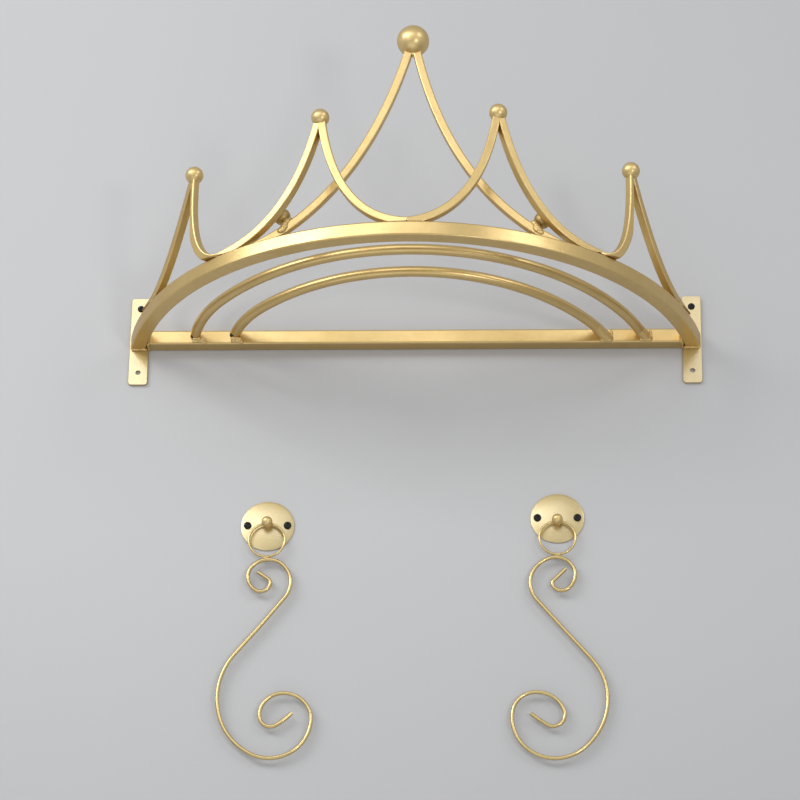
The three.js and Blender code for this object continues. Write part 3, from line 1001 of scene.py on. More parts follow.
@dataclass
class Crown:
    """Half-ring of square tube, wall bar and two flat brackets."""

    paint: bpy.types.Material
    plate_paint: bpy.types.Material
    # Painted shade: near-black paint for the pieces in the crevices behind the open left rod ends.
    crevice_shade_paint: bpy.types.Material
    welds: Welds
    half_width: float = 291.5
    depth: float = 238.8
    tube: float = 16.0
    tube_corner: float = 1.8
    bracket_width: float = 20.0
    bracket_height: float = 102.0
    bracket_thickness: float = 3.0
    bracket_corner: float = 3.0
    bracket_edge: float = 0.35
    bracket_inset: float = 1.5
    bracket_raise: float = 2.0
    bracket_hole: float = 5.5
    hole_heights: tuple[float, float] = (40.5, -35.0)
    rod: float = 11.0
    rod_bore: float = 8.0
    ring_steps: int = 200
    rod_steps: int = 110
    sharp: float = 35.0

    @property
    def radius(self) -> float:
        """Radius of the ring's centreline."""
        return (self.half_width**2 + self.depth**2) / (2 * self.depth)

    @property
    def centre_y(self) -> float:
        """Place of the ring's centre behind the wall plane."""
        return self.radius - self.depth

    @property
    def bracket_x(self) -> float:
        """Distance of each bracket's middle from the crown's middle."""
        return self.half_width - self.bracket_inset

    @property
    def outline(self) -> Outline:
        """Cross-section of the square tube."""
        return rounded_square(self.tube, self.tube_corner)

    def point(self, degrees: float, offset: float, height: float) -> Vector:
        """Works out a point by its place on the ring.

        Args:
            degrees: Angle round the ring, 0 at the front.
            offset: Distance outside the ring's centreline.
            height: Height above the bar's middle.

        Returns:
            The point.
        """
        angle = math.radians(degrees)
        radius = self.radius + offset
        return Vector(
            (radius * math.sin(angle), self.centre_y - radius * math.cos(angle), height)
        )

    def inner_x(self, front: float) -> float:
        """Returns how far out the ring's inner face is, a distance in front of the wall."""
        return math.sqrt((self.radius - self.tube / 2) ** 2 - (self.centre_y + front) ** 2)

    def build_ring(self) -> None:
        """Builds the half ring, cut off square by the brackets' faces."""
        face = -(self.bracket_thickness + SEAT_GAP)
        end = math.degrees(math.acos((self.centre_y - face) / self.radius)) + 3.0
        stations = []
        for step in range(self.ring_steps + 1):
            degrees = -end + 2 * end * step / self.ring_steps
            angle = math.radians(degrees)
            outward = Vector((math.sin(angle), -math.cos(angle), 0))
            stations.append(Station(self.point(degrees, 0, 0), outward, UP))
        bm = sweep(stations, self.outline)
        trim(bm, Vector((0, face, 0)), WALLWARD)
        make("crown_ring_tube", bm, self.paint, Slot.FRAME, ["crown_ring"])

    def build_bar(self) -> None:
        """Builds the straight wall bar."""
        inner = self.inner_x(self.tube)
        half = min(inner, self.bracket_x - self.bracket_width / 2) - SEAT_GAP
        stations = [
            Station(Vector((x, -self.tube / 2, 0)), WALLWARD, UP)
            for x in (-half, -half + 0.5, half - 0.5, half)
        ]
        bm = sweep(stations, self.outline)
        make("wall_bar_tube", bm, self.paint, Slot.FRAME, ["wall_bar"])

    def weld_ends(self) -> None:
        """Notes the welds between ring, bar and brackets."""
        half, length = self.tube / 2, self.tube - 2.0
        for side, _ in HANDS:
            x = side * (self.inner_x(self.tube) + 0.2)
            low = Vector((x - side * 2.5, -self.tube + 0.1, -half + 1.0))
            self.welds.add([low, low + UP * length], 1.0)
            near = side * self.inner_x(4.0)
            for height, size in ((-half - 0.3, 1.6), (half + 0.3, 1.2)):
                ends = (near, near + side * length)
                self.welds.add([Vector((end, -4.3, height)) for end in ends], size)
            under = Vector((x, -1.0, -half - 0.1))
            self.welds.add([under, under - WALLWARD * length], 1.0)

    def build_bracket(self, side: int, hand: str) -> None:
        """Builds one flat bracket with its two screw holes.

        Args:
            side: -1 for the left, 1 for the right.
            hand: The side in words.
        """
        x = side * self.bracket_x
        wide = self.bracket_width / 2 - self.bracket_corner
        high = self.bracket_height / 2 - self.bracket_corner
        edge, thick = self.bracket_edge, self.bracket_thickness
        rings = []
        for depth, inset in ((0, edge), (edge, 0), (thick - edge, 0), (thick, edge)):
            ring = []
            for sx, sz, start in ((1, 1, 0), (-1, 1, 90), (-1, -1, 180), (1, -1, 270)):
                for step in range(7):
                    angle = math.radians(start + 15 * step)
                    radius = self.bracket_corner - inset
                    px = sx * wide + radius * math.cos(angle)
                    pz = sz * high + radius * math.sin(angle)
                    ring.append(Vector((x + px, -depth, pz + self.bracket_raise)))
            rings.append(ring)
        holes = [
            drill(self.bracket_hole, THROUGH, 40, Vector((x, 0, height)), -WALLWARD)
            for height in self.hole_heights
        ]
        name = f"{hand}_bracket"
        paint = self.plate_paint
        make(name + "_strip", loft(rings), paint, Slot.PLATE, [name], self.sharp, holes)

    def build(self) -> None:
        """Builds ring, bar and brackets and notes their welds."""
        self.build_ring()
        self.build_bar()
        self.weld_ends()
        for side, hand in HANDS:
            self.build_bracket(side, hand)


@dataclass
class RodBend:
    """One tighter arc at the end of a curtain rod."""

    radius: float
    start: float


@dataclass
class CurtainRod:
    """Round curtain rod: a middle arc with a tighter arc at each end, rising off the bar."""

    crown: Crown
    name: str
    depth: float
    radius: float
    left: RodBend
    right: RodBend
    height: float
    rise: float
    left_weld: tuple[float, float]
    right_weld: tuple[float, float]
    left_slant: float = 0.4
    weld_proud: float = 0.05
    crevice_reach: tuple[float, float] = (2.0, 14.0)
    crevice_wider: float = 1.6
    plug_reach: tuple[float, float] = (5.0, 7.0)
    plug_height: float = -1.8
    plug_wider: float = 0.5
    plug_lumps: tuple[float, float] = (0.22, 0.45)
    plug_seed: int = 5

    def arc(self, side: int, bend: RodBend) -> tuple[float, float, float, float, float]:
        """Works out one end arc.

        Args:
            side: -1 for the left, 1 for the right.
            bend: Radius and start angle of the end arc.

        Returns:
            Centre x and y, radius, start angle and stop angle.
        """
        start = math.radians(bend.start)
        shift = self.radius - bend.radius
        x = side * shift * math.sin(start)
        y = self.radius - self.depth - shift * math.cos(start)
        lean = (y + self.crown.tube + SEAT_GAP) / (bend.radius - self.crown.rod / 2)
        return x, y, bend.radius, start, math.acos(lean)

    def line(self) -> list[Vector]:
        """Returns the rod's centreline."""
        left, right = self.arc(-1, self.left), self.arc(1, self.right)
        points = []
        for step in range(self.crown.rod_steps + 1):
            angle = -left[4] + (left[4] + right[4]) * step / self.crown.rod_steps
            x, y, radius = 0.0, self.radius - self.depth, self.radius
            if angle < -left[3]:
                x, y, radius = left[:3]
            if angle > right[3]:
                x, y, radius = right[:3]
            py = y - radius * math.cos(angle)
            pz = self.height - self.rise * (py + self.crown.tube)
            points.append(Vector((x + radius * math.sin(angle), py, pz)))
        return points

    def build(self) -> None:
        """Builds the rod as an open tube, and the welds at its ends."""
        line = self.line()
        stations = stations_along(line)
        slant = (line[1] - line[0]).normalized() * self.left_slant
        first = stations[0]
        first.middle = first.middle + slant * self.crown.rod / 2
        first.across = first.across + slant
        bm = hollow(stations, circle(self.crown.rod, 40), circle(self.crown.rod_bore, 40))
        make(self.name + "_tube", bm, self.crown.paint, Slot.FRAME, [self.name])
        self.build_crevice(line[0], (line[0] - line[1]).normalized())
        self.build_plug(line[-1], (line[-1] - line[-2]).normalized())
        self.weld_ends()

    def build_stub(
        self, name: str, bm: bmesh.types.BMesh, material: bpy.types.Material
    ) -> None:
        """Builds a short piece at a rod end, cut off by the bar's face, for a weld lump and for
        the painted crevice shade.

        Args:
            name: End of the piece's name.
            bm: Its geometry.
            material: Its finish.
        """
        trim(bm, Vector((0, -self.crown.tube - self.weld_proud, 0)), WALLWARD)
        make(self.name + name, bm, material, Slot.FRAME)

    def build_crevice(self, end: Vector, ahead: Vector) -> None:
        """Builds a near-black piece in the wedge behind the open left end, painted shade for the
        crevice's shadow.

        Args:
            end: Middle of the rod's left end.
            ahead: Direction from the rod to the bar.
        """
        behind, beyond = self.crevice_reach
        stations = stations_along([end - ahead * behind, end + ahead * beyond])
        bm = sweep(stations, circle(self.crown.rod_bore + self.crevice_wider, 32))
        # Painted shade: this dark piece stands for the shadowed crevice, not for a real weld root.
        self.build_stub("_painted_crevice_shade", bm, self.crown.crevice_shade_paint)

    def build_plug(self, end: Vector, ahead: Vector) -> None:
        """Builds the weld that carries the right end on to the bar.

        Args:
            end: Middle of the rod's right end.
            ahead: Direction from the rod to the bar.
        """
        behind, beyond = self.plug_reach
        scale, size = self.plug_lumps
        target = Vector((sum(self.right_weld) / 2, -self.crown.tube, self.plug_height))
        back = end - ahead * behind
        way = (target - back).normalized()
        reach = (target - back).length + beyond
        line = [back + way * reach * step / 14 for step in range(15)]
        bm = sweep(stations_along(line), circle(self.crown.rod + self.plug_wider, 40))
        noise.seed_set(self.plug_seed)
        for vert in bm.verts:
            vert.co += noise.noise_vector(vert.co * scale) * size
        self.build_stub("_right_weld", bm, self.crown.welds.material)

    def weld_ends(self) -> None:
        """Notes the lumps under the open left end and those that fill the right end."""
        welds, face = self.crown.welds, -self.crown.tube
        left, right = self.left_weld
        for height, inset, proud, size in (
            (-0.6, 4.5, 3.4, 2.1),
            (-3.4, 1.5, 2.0, 2.4),
            (-5.8, 1.0, 1.0, 1.9),
        ):
            start = Vector((left + inset, face - proud, height))
            end = Vector((right - inset * 2, face - proud * 0.5, height - 0.8))
            welds.add([start, (start + end) / 2 + Vector((0, -0.6, 0.7)), end], size)
        left, right = self.right_weld
        top = Vector((right + 0.4, face - 1.0, 4.4))
        welds.add([top, top + Vector((0.2, 0.0, -6.0))], 1.6)
        low = Vector((left + 1.0, face - 0.8, -6.0))
        welds.add([low, Vector((right - 1.0, face - 0.8, -6.2))], 1.7)


# ---- Spires ----


@dataclass
class Leg:
    """One bent leg: its foot's angle on the ring and the shares that bend it."""

    name: str
    angle: float
    spread: float
    lift: float
    twist: float = 0.0
    offset: float = 3.6
    rise: float = 0.0


@dataclass
class Spire:
    """A ball on two bent square bars that stand on the ring."""

    crown: Crown
    ball_paint: bpy.types.Material
    ball_name: str
    apex: Vector
    ball: float
    seat: float
    sink: float
    legs: tuple[Leg, Leg]
    part: float = 0.0
    collar: float = 1.1
    bar: float = 8.5
    corner: float = 1.2
    ball_floor: float = 0.985
    collar_shares: tuple[float, float] = (0.30, 0.52)
    steps: int = 56
    overrun: float = 25.0

    def foot(self, leg: Leg) -> Vector:
        """Returns the middle of a leg's foot."""
        top = self.crown.tube / 2 + SEAT_GAP + leg.rise
        return self.crown.point(leg.angle, leg.offset, top)

    def bend(self, leg: Leg) -> tuple[Vector, Vector, Callable[[float], tuple[Vector, Vector]]]:
        """Works out a leg's plane and its bend.

        Args:
            leg: The leg.

        Returns:
            The joint under the ball, the level direction to the foot, and a function from a
            share of the way to the point and tangent of the centreline.
        """
        top = self.apex - UP * self.seat
        foot = self.foot(leg)
        away = Vector((foot.x - top.x, foot.y - top.y, 0))
        reach, fall = away.length, top.z - foot.z
        away.normalize()

        def at(share: float) -> tuple[Vector, Vector]:
            """Works out the centreline at a share of the way from ball to foot.

            Args:
                share: The share.

            Returns:
                The point and the tangent.
            """
            rest = 1 - share
            out = 2 * share * rest * leg.spread * reach + share * share * reach
            out += self.part * rest**3
            high = rest * rest * fall + 2 * share * rest * leg.lift * fall
            out_rate = 2 * rest * leg.spread * reach + 2 * share * (1 - leg.spread) * reach
            out_rate -= 3 * self.part * rest**2
            high_rate = -2 * rest * (1 - leg.lift) * fall - 2 * share * leg.lift * fall
            point = Vector((top.x, top.y, foot.z + high)) + away * out
            return point, (away * out_rate + UP * high_rate).normalized()

        return top, away, at

    def build_leg(
        self, leg: Leg, partner: Leg, planes: Iterable[tuple[Vector, Vector]] = ()
    ) -> None:
        """Builds one leg, mitred against its partner and cut off by the ring's top.

        Args:
            leg: The leg.
            partner: The spire's other leg.
            planes: More cutting planes, each a point and the direction of its waste.
        """
        top, away, at = self.bend(leg)
        flat = away.cross(UP)
        line = [at(step / self.steps) for step in range(self.steps + 1)]
        (first, starting), (last, ending) = line[0], line[-1]
        line.insert(0, (first - starting * self.bar, starting))
        line.append((last + ending * self.overrun, ending))
        stations = []
        for middle, tangent in line:
            spin = Matrix.Rotation(math.radians(leg.twist), 3, tangent)
            deep = tangent.cross(flat).normalized()
            stations.append(Station(middle, spin @ flat, spin @ deep))
        bm = sweep(stations, rounded_square(self.bar, self.corner, 3, 0.1))
        other = self.foot(partner)
        to_partner = Vector((other.x - top.x, other.y - top.y, 0)).normalized()
        split = (to_partner - away).normalized()
        trim(bm, top - split * SEAT_GAP / 2, split)
        trim(bm, Vector((0, 0, top.z - SEAT_GAP)), UP)
        trim(bm, Vector((0, 0, self.crown.tube / 2 + SEAT_GAP)), -UP)
        for point, normal in planes:
            trim(bm, point, normal)
        make(leg.name + "_bar", bm, self.crown.paint, Slot.FRAME, [leg.name])

    def build_ball(self) -> None:
        """Builds the ball, which goes on round below its seat, and notes the weld under it."""
        floor = -self.ball / 2 * self.ball_floor
        profile = [(0.0, floor), *ball_profile(self.ball, 0.0, floor, 48)]
        bm = turned(profile, 64, self.apex - UP * self.sink, UP)
        make(self.ball_name + "_turned", bm, self.ball_paint, Slot.BALL, [self.ball_name])
        welds = self.crown.welds
        under = self.apex - UP * (self.seat + 0.4)
        for share in self.collar_shares:
            welds.circle(under, UP, self.bar * share + self.part * 0.6, self.collar)
        start = under - WALLWARD * self.bar * 0.22 - UP * 0.4
        end = start - UP * (0.6 + self.part * 0.8)
        welds.add([start, end], 1.2 + self.part * 0.32)

    def weld_feet(self) -> None:
        """Notes a bead on each side of both feet."""
        for leg in self.legs:
            _, away, at = self.bend(leg)
            foot, tangent = at(1.0)
            flat = away.cross(UP)
            slope = max(0.15, -tangent.z / math.hypot(tangent.x, tangent.y))
            half = min(9.0, self.bar / 2 / slope)
            for side, _ in HANDS:
                start = foot - away * half + flat * side * self.bar * 0.42
                end = foot - away * half * 0.1 + flat * side * self.bar * 0.42
                start.z = end.z = self.crown.tube / 2 + 0.2
                self.crown.welds.add([start, end], 0.75)


@dataclass
class Knob:
    """A small ball on a short neck, standing on a leg of the tall spire.

    A lump of weld is given by the places of its points along the leg, in front of it and above
    it, and by its radius.
    """

    spire: Spire
    leg: Leg
    name: str
    side: int
    paint: bpy.types.Material
    distance: float
    weld_shift: float
    ball: float = 17.2
    neck: float = 7.0
    reach: float = 16.5
    lean: float = 14.0
    lumps: tuple[tuple[tuple[Place, ...], float], ...] = (
        (((-4.0, 2.2, 7.0), (-0.5, 3.2, 3.4), (4.5, 2.8, 0.6)), 3.3),
        (((-3.0, 3.6, 1.5), (2.0, 3.8, -0.6)), 2.7),
    )

    def build(self) -> None:
        """Builds the knob and notes the weld round its neck."""
        _, away, at = self.spire.bend(self.leg)
        low, high = 0.0, 1.0
        for _ in range(40):
            middle = (low + high) / 2
            if self.side * at(middle)[0].x < self.distance:
                low = middle
            else:
                high = middle
        point, tangent = at(low)
        normal = tangent.cross(away.cross(UP)).normalized()
        if normal.z < 0:
            normal.negate()
        lean = math.radians(self.lean)
        axis = (normal * math.cos(lean) + WALLWARD * math.sin(lean)).normalized()
        half = self.neck / 2
        base = (self.spire.bar / 2 + SEAT_GAP) / math.cos(lean) + half * math.tan(lean)
        seat = -math.sqrt((self.ball / 2) ** 2 - half**2)
        profile = [(0.0, base), (half, base), *ball_profile(self.ball, self.reach, seat, 36)]
        bm = turned(profile, 56, point, axis)
        make(self.name + "_turned", bm, self.paint, Slot.BALL, [self.name])
        welds = self.spire.crown.welds
        welds.circle(point + axis * base, axis, half + 0.4, 2.0)
        for places, size in self.lumps:
            line = [
                point + tangent * (self.weld_shift + along) + UP * height - WALLWARD * front
                for along, front, height in places
            ]
            welds.add(line, size)


@dataclass
class Spires:
    """The two front spires, the two side spires and the tall one with its knobs.

    Each front or side spire is given by its ball and its two legs. The ball has an angle round
    the ring, an offset, a height and how far it is sunk, and a leg has its foot's angle, its
    spread share and its lift share.
    """

    crown: Crown
    ball_paint: bpy.types.Material
    knob_paint: bpy.types.Material
    front: tuple[tuple[tuple[float, ...], tuple[Place, Place]], ...] = (
        ((17.15, 7.3, 136.9, 1.0), ((0.0, 0.21, 0.055), (38.6, 0.277, 0.125))),
        ((17.25, 7.4, 142.5, 2.1), ((0.0, 0.206, 0.108), (38.8, 0.291, 0.104))),
    )
    sideways: tuple[tuple[tuple[float, ...], tuple[Place, Place]], ...] = (
        ((45.3, 16.0, 111.5, 1.0), ((39.8, -0.132, -0.07), (63.7, 0.6, 0.09))),
        ((45.7, 17.2, 114.0, 1.0), ((40.4, -0.054, -0.071), (66.3, 0.516, 0.118))),
    )
    small_ball: float = 18.5
    small_seat: float = 7.0
    front_part: float = 1.7
    side_twist: float = 22.0
    tall_apex: tuple[float, float] = (1.4, 251.3)
    tall_ball: float = 33.4
    tall_seat: float = 13.6
    tall_top: float = 266.7
    tall_part: float = 4.0
    tall_collar: float = 1.9
    tall_legs: tuple[Place, Place] = ((-30.6, 0.335, 0.261), (30.0, 0.28, 0.274))
    tall_foot: tuple[float, float] = (-3.75, 2.5)
    knob_distances: tuple[float, float] = (118.5, 125.0)
    knob_weld_shifts: tuple[float, float] = (10.0, 6.0)

    def meeting(self, degrees: float, side: int) -> tuple[Vector, Vector]:
        """Works out the upright plane where two feet meet.

        Args:
            degrees: Angle round the ring.
            side: The side of its waste, 1 for growing angles.

        Returns:
            A point of the plane and the direction of its waste.
        """
        angle = math.radians(degrees)
        normal = Vector((math.cos(angle), math.sin(angle), 0)) * side
        return self.crown.point(degrees, 0, 0) - normal * SEAT_GAP / 2, normal

    def build_hand(self, side: int, hand: str) -> None:
        """Builds the front and side spires of one hand.

        Args:
            side: -1 for the left, 1 for the right.
            hand: The side in words.
        """
        index = max(side, 0)
        twists = (-side * self.side_twist, 0.0)
        spires = []
        for kind, (ball, bends), names, twists, part in (
            ("front", self.front[index], ("inner", "outer"), (0.0, 0.0), self.front_part),
            ("side", self.sideways[index], ("front", "rear"), twists, 0.0),
        ):
            title = f"{hand}_{kind}"
            legs = tuple(
                Leg(f"{title}_spire_{name}_leg", side * angle, spread, lift, twist)
                for name, (angle, spread, lift), twist in zip(names, bends, twists)
            )
            angle, offset, height, sink = ball
            apex = self.crown.point(side * angle, offset, height)
            sizes = (self.small_ball, self.small_seat, sink)
            spires.append(
                Spire(self.crown, self.ball_paint, title + "_ball", apex, *sizes, legs, part)
            )
        front, sideways = spires
        inner, outer = front.legs
        near, rear = sideways.legs
        shared = (outer.angle + near.angle) / 2
        front.build_leg(inner, outer, [self.meeting(inner.angle, -side)])
        front.build_leg(outer, inner, [self.meeting(shared, side)])
        sideways.build_leg(near, rear, [self.meeting(shared, -side)])
        sideways.build_leg(rear, near)
        for spire in spires:
            spire.build_ball()
            spire.weld_feet()

    def build_tall(self) -> None:
        """Builds the tall middle spire and its two knobs."""
        left, right = (
            Leg(f"tall_spire_{hand}_leg", *bend, 0.0, *self.tall_foot)
            for (_, hand), bend in zip(HANDS, self.tall_legs)
        )
        depth = sum(self.crown.point(leg.angle, leg.offset, 0).y for leg in (left, right)) / 2
        x, height = self.tall_apex
        tall = Spire(
            self.crown,
            self.ball_paint,
            "tall_ball",
            Vector((x, depth, height)),
            self.tall_ball,
            self.tall_seat,
            height + self.tall_ball / 2 - self.tall_top,
            (left, right),
            self.tall_part,
            self.tall_collar,
        )
        tall.build_leg(left, right)
        tall.build_leg(right, left)
        tall.build_ball()
        tall.weld_feet()
        sizes = zip(self.knob_distances, self.knob_weld_shifts)
        for (side, hand), leg, (distance, shift) in zip(HANDS, tall.legs, sizes):
            Knob(tall, leg, f"{hand}_knob", side, self.knob_paint, distance, shift).build()

    def build(self) -> None:
        """Builds every spire."""
        for side, hand in HANDS:
            self.build_hand(side, hand)
            log.info("%s spires done", hand)
        self.build_tall()


# ---- Tie-backs ----


@dataclass
class Tieback:
    """Wall plate, pierced post, hanging ring and scroll hook of one side."""

    side: int
    hand: str
    plate_z: float
    post_drop: float
    start: tuple[float, float]
    heading: float
    arcs: Sequence[tuple[float, float]]
    welds: Welds
    wire_tree: Grower
    plate_paint: bpy.types.Material
    ball_paint: bpy.types.Material
    wire_paint: bpy.types.Material
    middle_x: float = 148.5
    plate: float = 55.0
    plate_rim: float = 1.2
    plate_rise: float = 2.5
    plate_hole: float = 4.6
    screw_offset: float = 20.5
    screw_head: float = 8.0
    post: float = 7.0
    post_ball: float = 11.3
    post_ball_reach: float = 12.0
    eye: float = 4.0
    eye_reach: float = 7.0
    ring_radius: float = 18.5
    ring_wire: float = 2.5
    ring_steps: int = 96
    scroll_wire: float = 4.0
    scroll_seat: float = 0.05
    dent: float = 0.09
    sharp: float = 35.0
    wire_sharp: float = 50.0

    @property
    def x(self) -> float:
        """Place of the plate's middle along the wall."""
        return self.side * self.middle_x

    @property
    def post_z(self) -> float:
        """Height of the post's axis."""
        return self.plate_z - self.post_drop

    def dome(self, radius: float) -> float:
        """Returns the height of the plate's domed face at a distance from its centre."""
        curve = ((self.plate / 2) ** 2 + self.plate_rise**2) / (2 * self.plate_rise)
        return self.plate_rim + self.plate_rise - curve + math.sqrt(curve**2 - radius**2)

    def build_plate(self) -> None:
        """Builds the pressed round plate with its two screw holes."""
        half = self.plate / 2
        rim = self.dome(half)
        profile = [(0.0, 0.0), (half - 0.3, 0.0), (half, 0.3), (half, rim - 0.3)]
        profile.append((half - 0.12, rim - 0.06))
        for step in range(1, 25):
            radius = half * (1 - step / 24)
            profile.append((radius, self.dome(radius)))
        bm = turned(profile, 120, Vector((self.x, 0, self.plate_z)), -WALLWARD)
        places = [Vector((self.x + way * self.screw_offset, 0, self.plate_z)) for way in (-1, 1)]
        holes = [drill(self.plate_hole, THROUGH, 36, place, -WALLWARD) for place in places]
        name = f"{self.hand}_plate"
        make(name + "_pressed", bm, self.plate_paint, Slot.PLATE, [name], self.sharp, holes)

    def build_post(self) -> None:
        """Builds the post with its ball end and the eye that carries the ring."""
        neck = self.post / 2
        base = self.dome(0.0) + SEAT_GAP
        seat = -math.sqrt((self.post_ball / 2) ** 2 - neck**2)
        profile = [(0.0, base), (neck, base)]
        profile += ball_profile(self.post_ball, self.post_ball_reach, seat, 30)
        foot = Vector((self.x, 0, self.post_z))
        bm = turned(profile, 48, foot, -WALLWARD)
        through = Vector((self.x, -self.eye_reach, self.post_z))
        eye = drill(self.eye, (-12.0, 12.0), 32, through, Vector((1, 0, 0)))
        name = f"{self.hand}_post"
        make(name + "_turned", bm, self.ball_paint, Slot.BALL, [name], self.sharp, [eye])
        self.welds.circle(foot - WALLWARD * base, WALLWARD, neck + 0.1, 0.55)

    def scroll_line(self) -> list[Vector]:
        """Returns the scroll's centreline as points that follow its chain of arcs."""
        points = [Vector(self.start)]
        direction = math.radians(self.heading)
        for radius, turn in self.arcs:
            steps = max(2, math.ceil(abs(turn) / 4))
            step_turn = math.radians(turn) / steps
            chord = 2 * radius * math.sin(abs(step_turn) / 2)
            for _ in range(steps):
                way = direction + step_turn / 2
                points.append(points[-1] + Vector((math.cos(way), math.sin(way))) * chord)
                direction += step_turn
        top = max(point.y for point in points)
        under_ring = -(2 * self.ring_radius + self.ring_wire / 2)
        drop = under_ring - self.scroll_seat - self.scroll_wire / 2 - top
        return [
            Vector((self.x - self.side * point.x, -self.eye_reach, self.post_z + point.y + drop))
            for point in points
        ]

    def build_hook(self) -> None:
        """Builds the ring and the scroll and notes the bead that joins them."""
        body = f"{self.hand}_hook"
        middle = Vector((self.x, -self.eye_reach, self.post_z - self.ring_radius))
        turns = [2 * math.pi * step / self.ring_steps for step in range(self.ring_steps)]
        hoop = [middle + Vector((math.cos(t), 0, math.sin(t))) * self.ring_radius for t in turns]
        for kind, line, wire, closed in (
            ("ring", hoop, self.ring_wire, True),
            ("scroll", self.scroll_line(), self.scroll_wire, False),
        ):
            name = f"{self.hand}_{kind}"
            piece = self.wire_tree.grow(
                name + "_wire",
                polylines(name + "_line", [line], [wire / 2]),
                self.wire_sharp,
                Wire_Radius=wire / 2 * MM,
                Sides=24,
                Dent=self.dent * MM,
                Closed=closed,
                Material=self.wire_paint,
            )
            dress(piece, self.wire_paint, Slot.WIRE, [name], body)
        low = middle - UP * (self.ring_radius + self.ring_wire / 2)
        self.welds.add([low + Vector((-1.8, 0, 0)), low + Vector((1.8, 0, 0))], 1.25, body)

    def build(self) -> None:
        """Builds the plate, the post and what hangs from it."""
        self.build_plate()
        self.build_post()
        self.build_hook()


@dataclass
class Screws:
    """The two bracket screws and the four plate screws."""

    crown: Crown
    tiebacks: Sequence[Tieback]
    material: bpy.types.Material
    bracket_head: float = 7.4
    sharp: float = 30.0

    def build(self) -> None:
        """Seats every screw head in one piece."""
        lines, sizes, nodes = [], [], []
        face = -(self.crown.bracket_thickness + SEAT_GAP)
        for side, hand in HANDS:
            place = Vector((side * self.crown.bracket_x, face, self.crown.hole_heights[0]))
            lines.append([place])
            sizes.append(self.bracket_head / 2)
            nodes.append(f"{hand}_bracket_screw")
        for tieback in self.tiebacks:
            seat = tieback.dome(tieback.screw_offset - tieback.screw_head / 2) + SEAT_GAP
            for way, edge in ((-1, "inner"), (1, "outer")):
                x = tieback.side * (tieback.middle_x + way * tieback.screw_offset)
                lines.append([Vector((x, -seat, tieback.plate_z))])
                sizes.append(tieback.screw_head / 2)
                nodes.append(f"{tieback.hand}_plate_{edge}_screw")
        mesh = polylines("screw_points", lines, sizes)
        tree = screw_head_tree()
        piece = tree.grow("screws", mesh, self.sharp, Material=self.material, Seed=11)
        dress(piece, self.material, Slot.SCREW, nodes)


# ---- Studio ----


@dataclass(frozen=True)
class Lamp:
    """One soft light, placed in metres, with its width and height."""

    name: str
    place: Place
    size: tuple[float, float]
    watts: float
    target: Place = (0.0, -0.12, 0.0)

    def build(self) -> None:
        """Adds the light, turned to its target."""
        data = bpy.data.lights.new(self.name, "AREA")
        data.shape = "RECTANGLE"
        data.size, data.size_y = self.size
        data.energy = self.watts
        facing = Vector(self.target) - Vector(self.place)
        turn = facing.to_track_quat("-Z", "Y").to_matrix().to_4x4()
        lamp = placed(self.name, data)
        lamp.matrix_world = Matrix.Translation(self.place) @ turn
        lamp.visible_camera = False


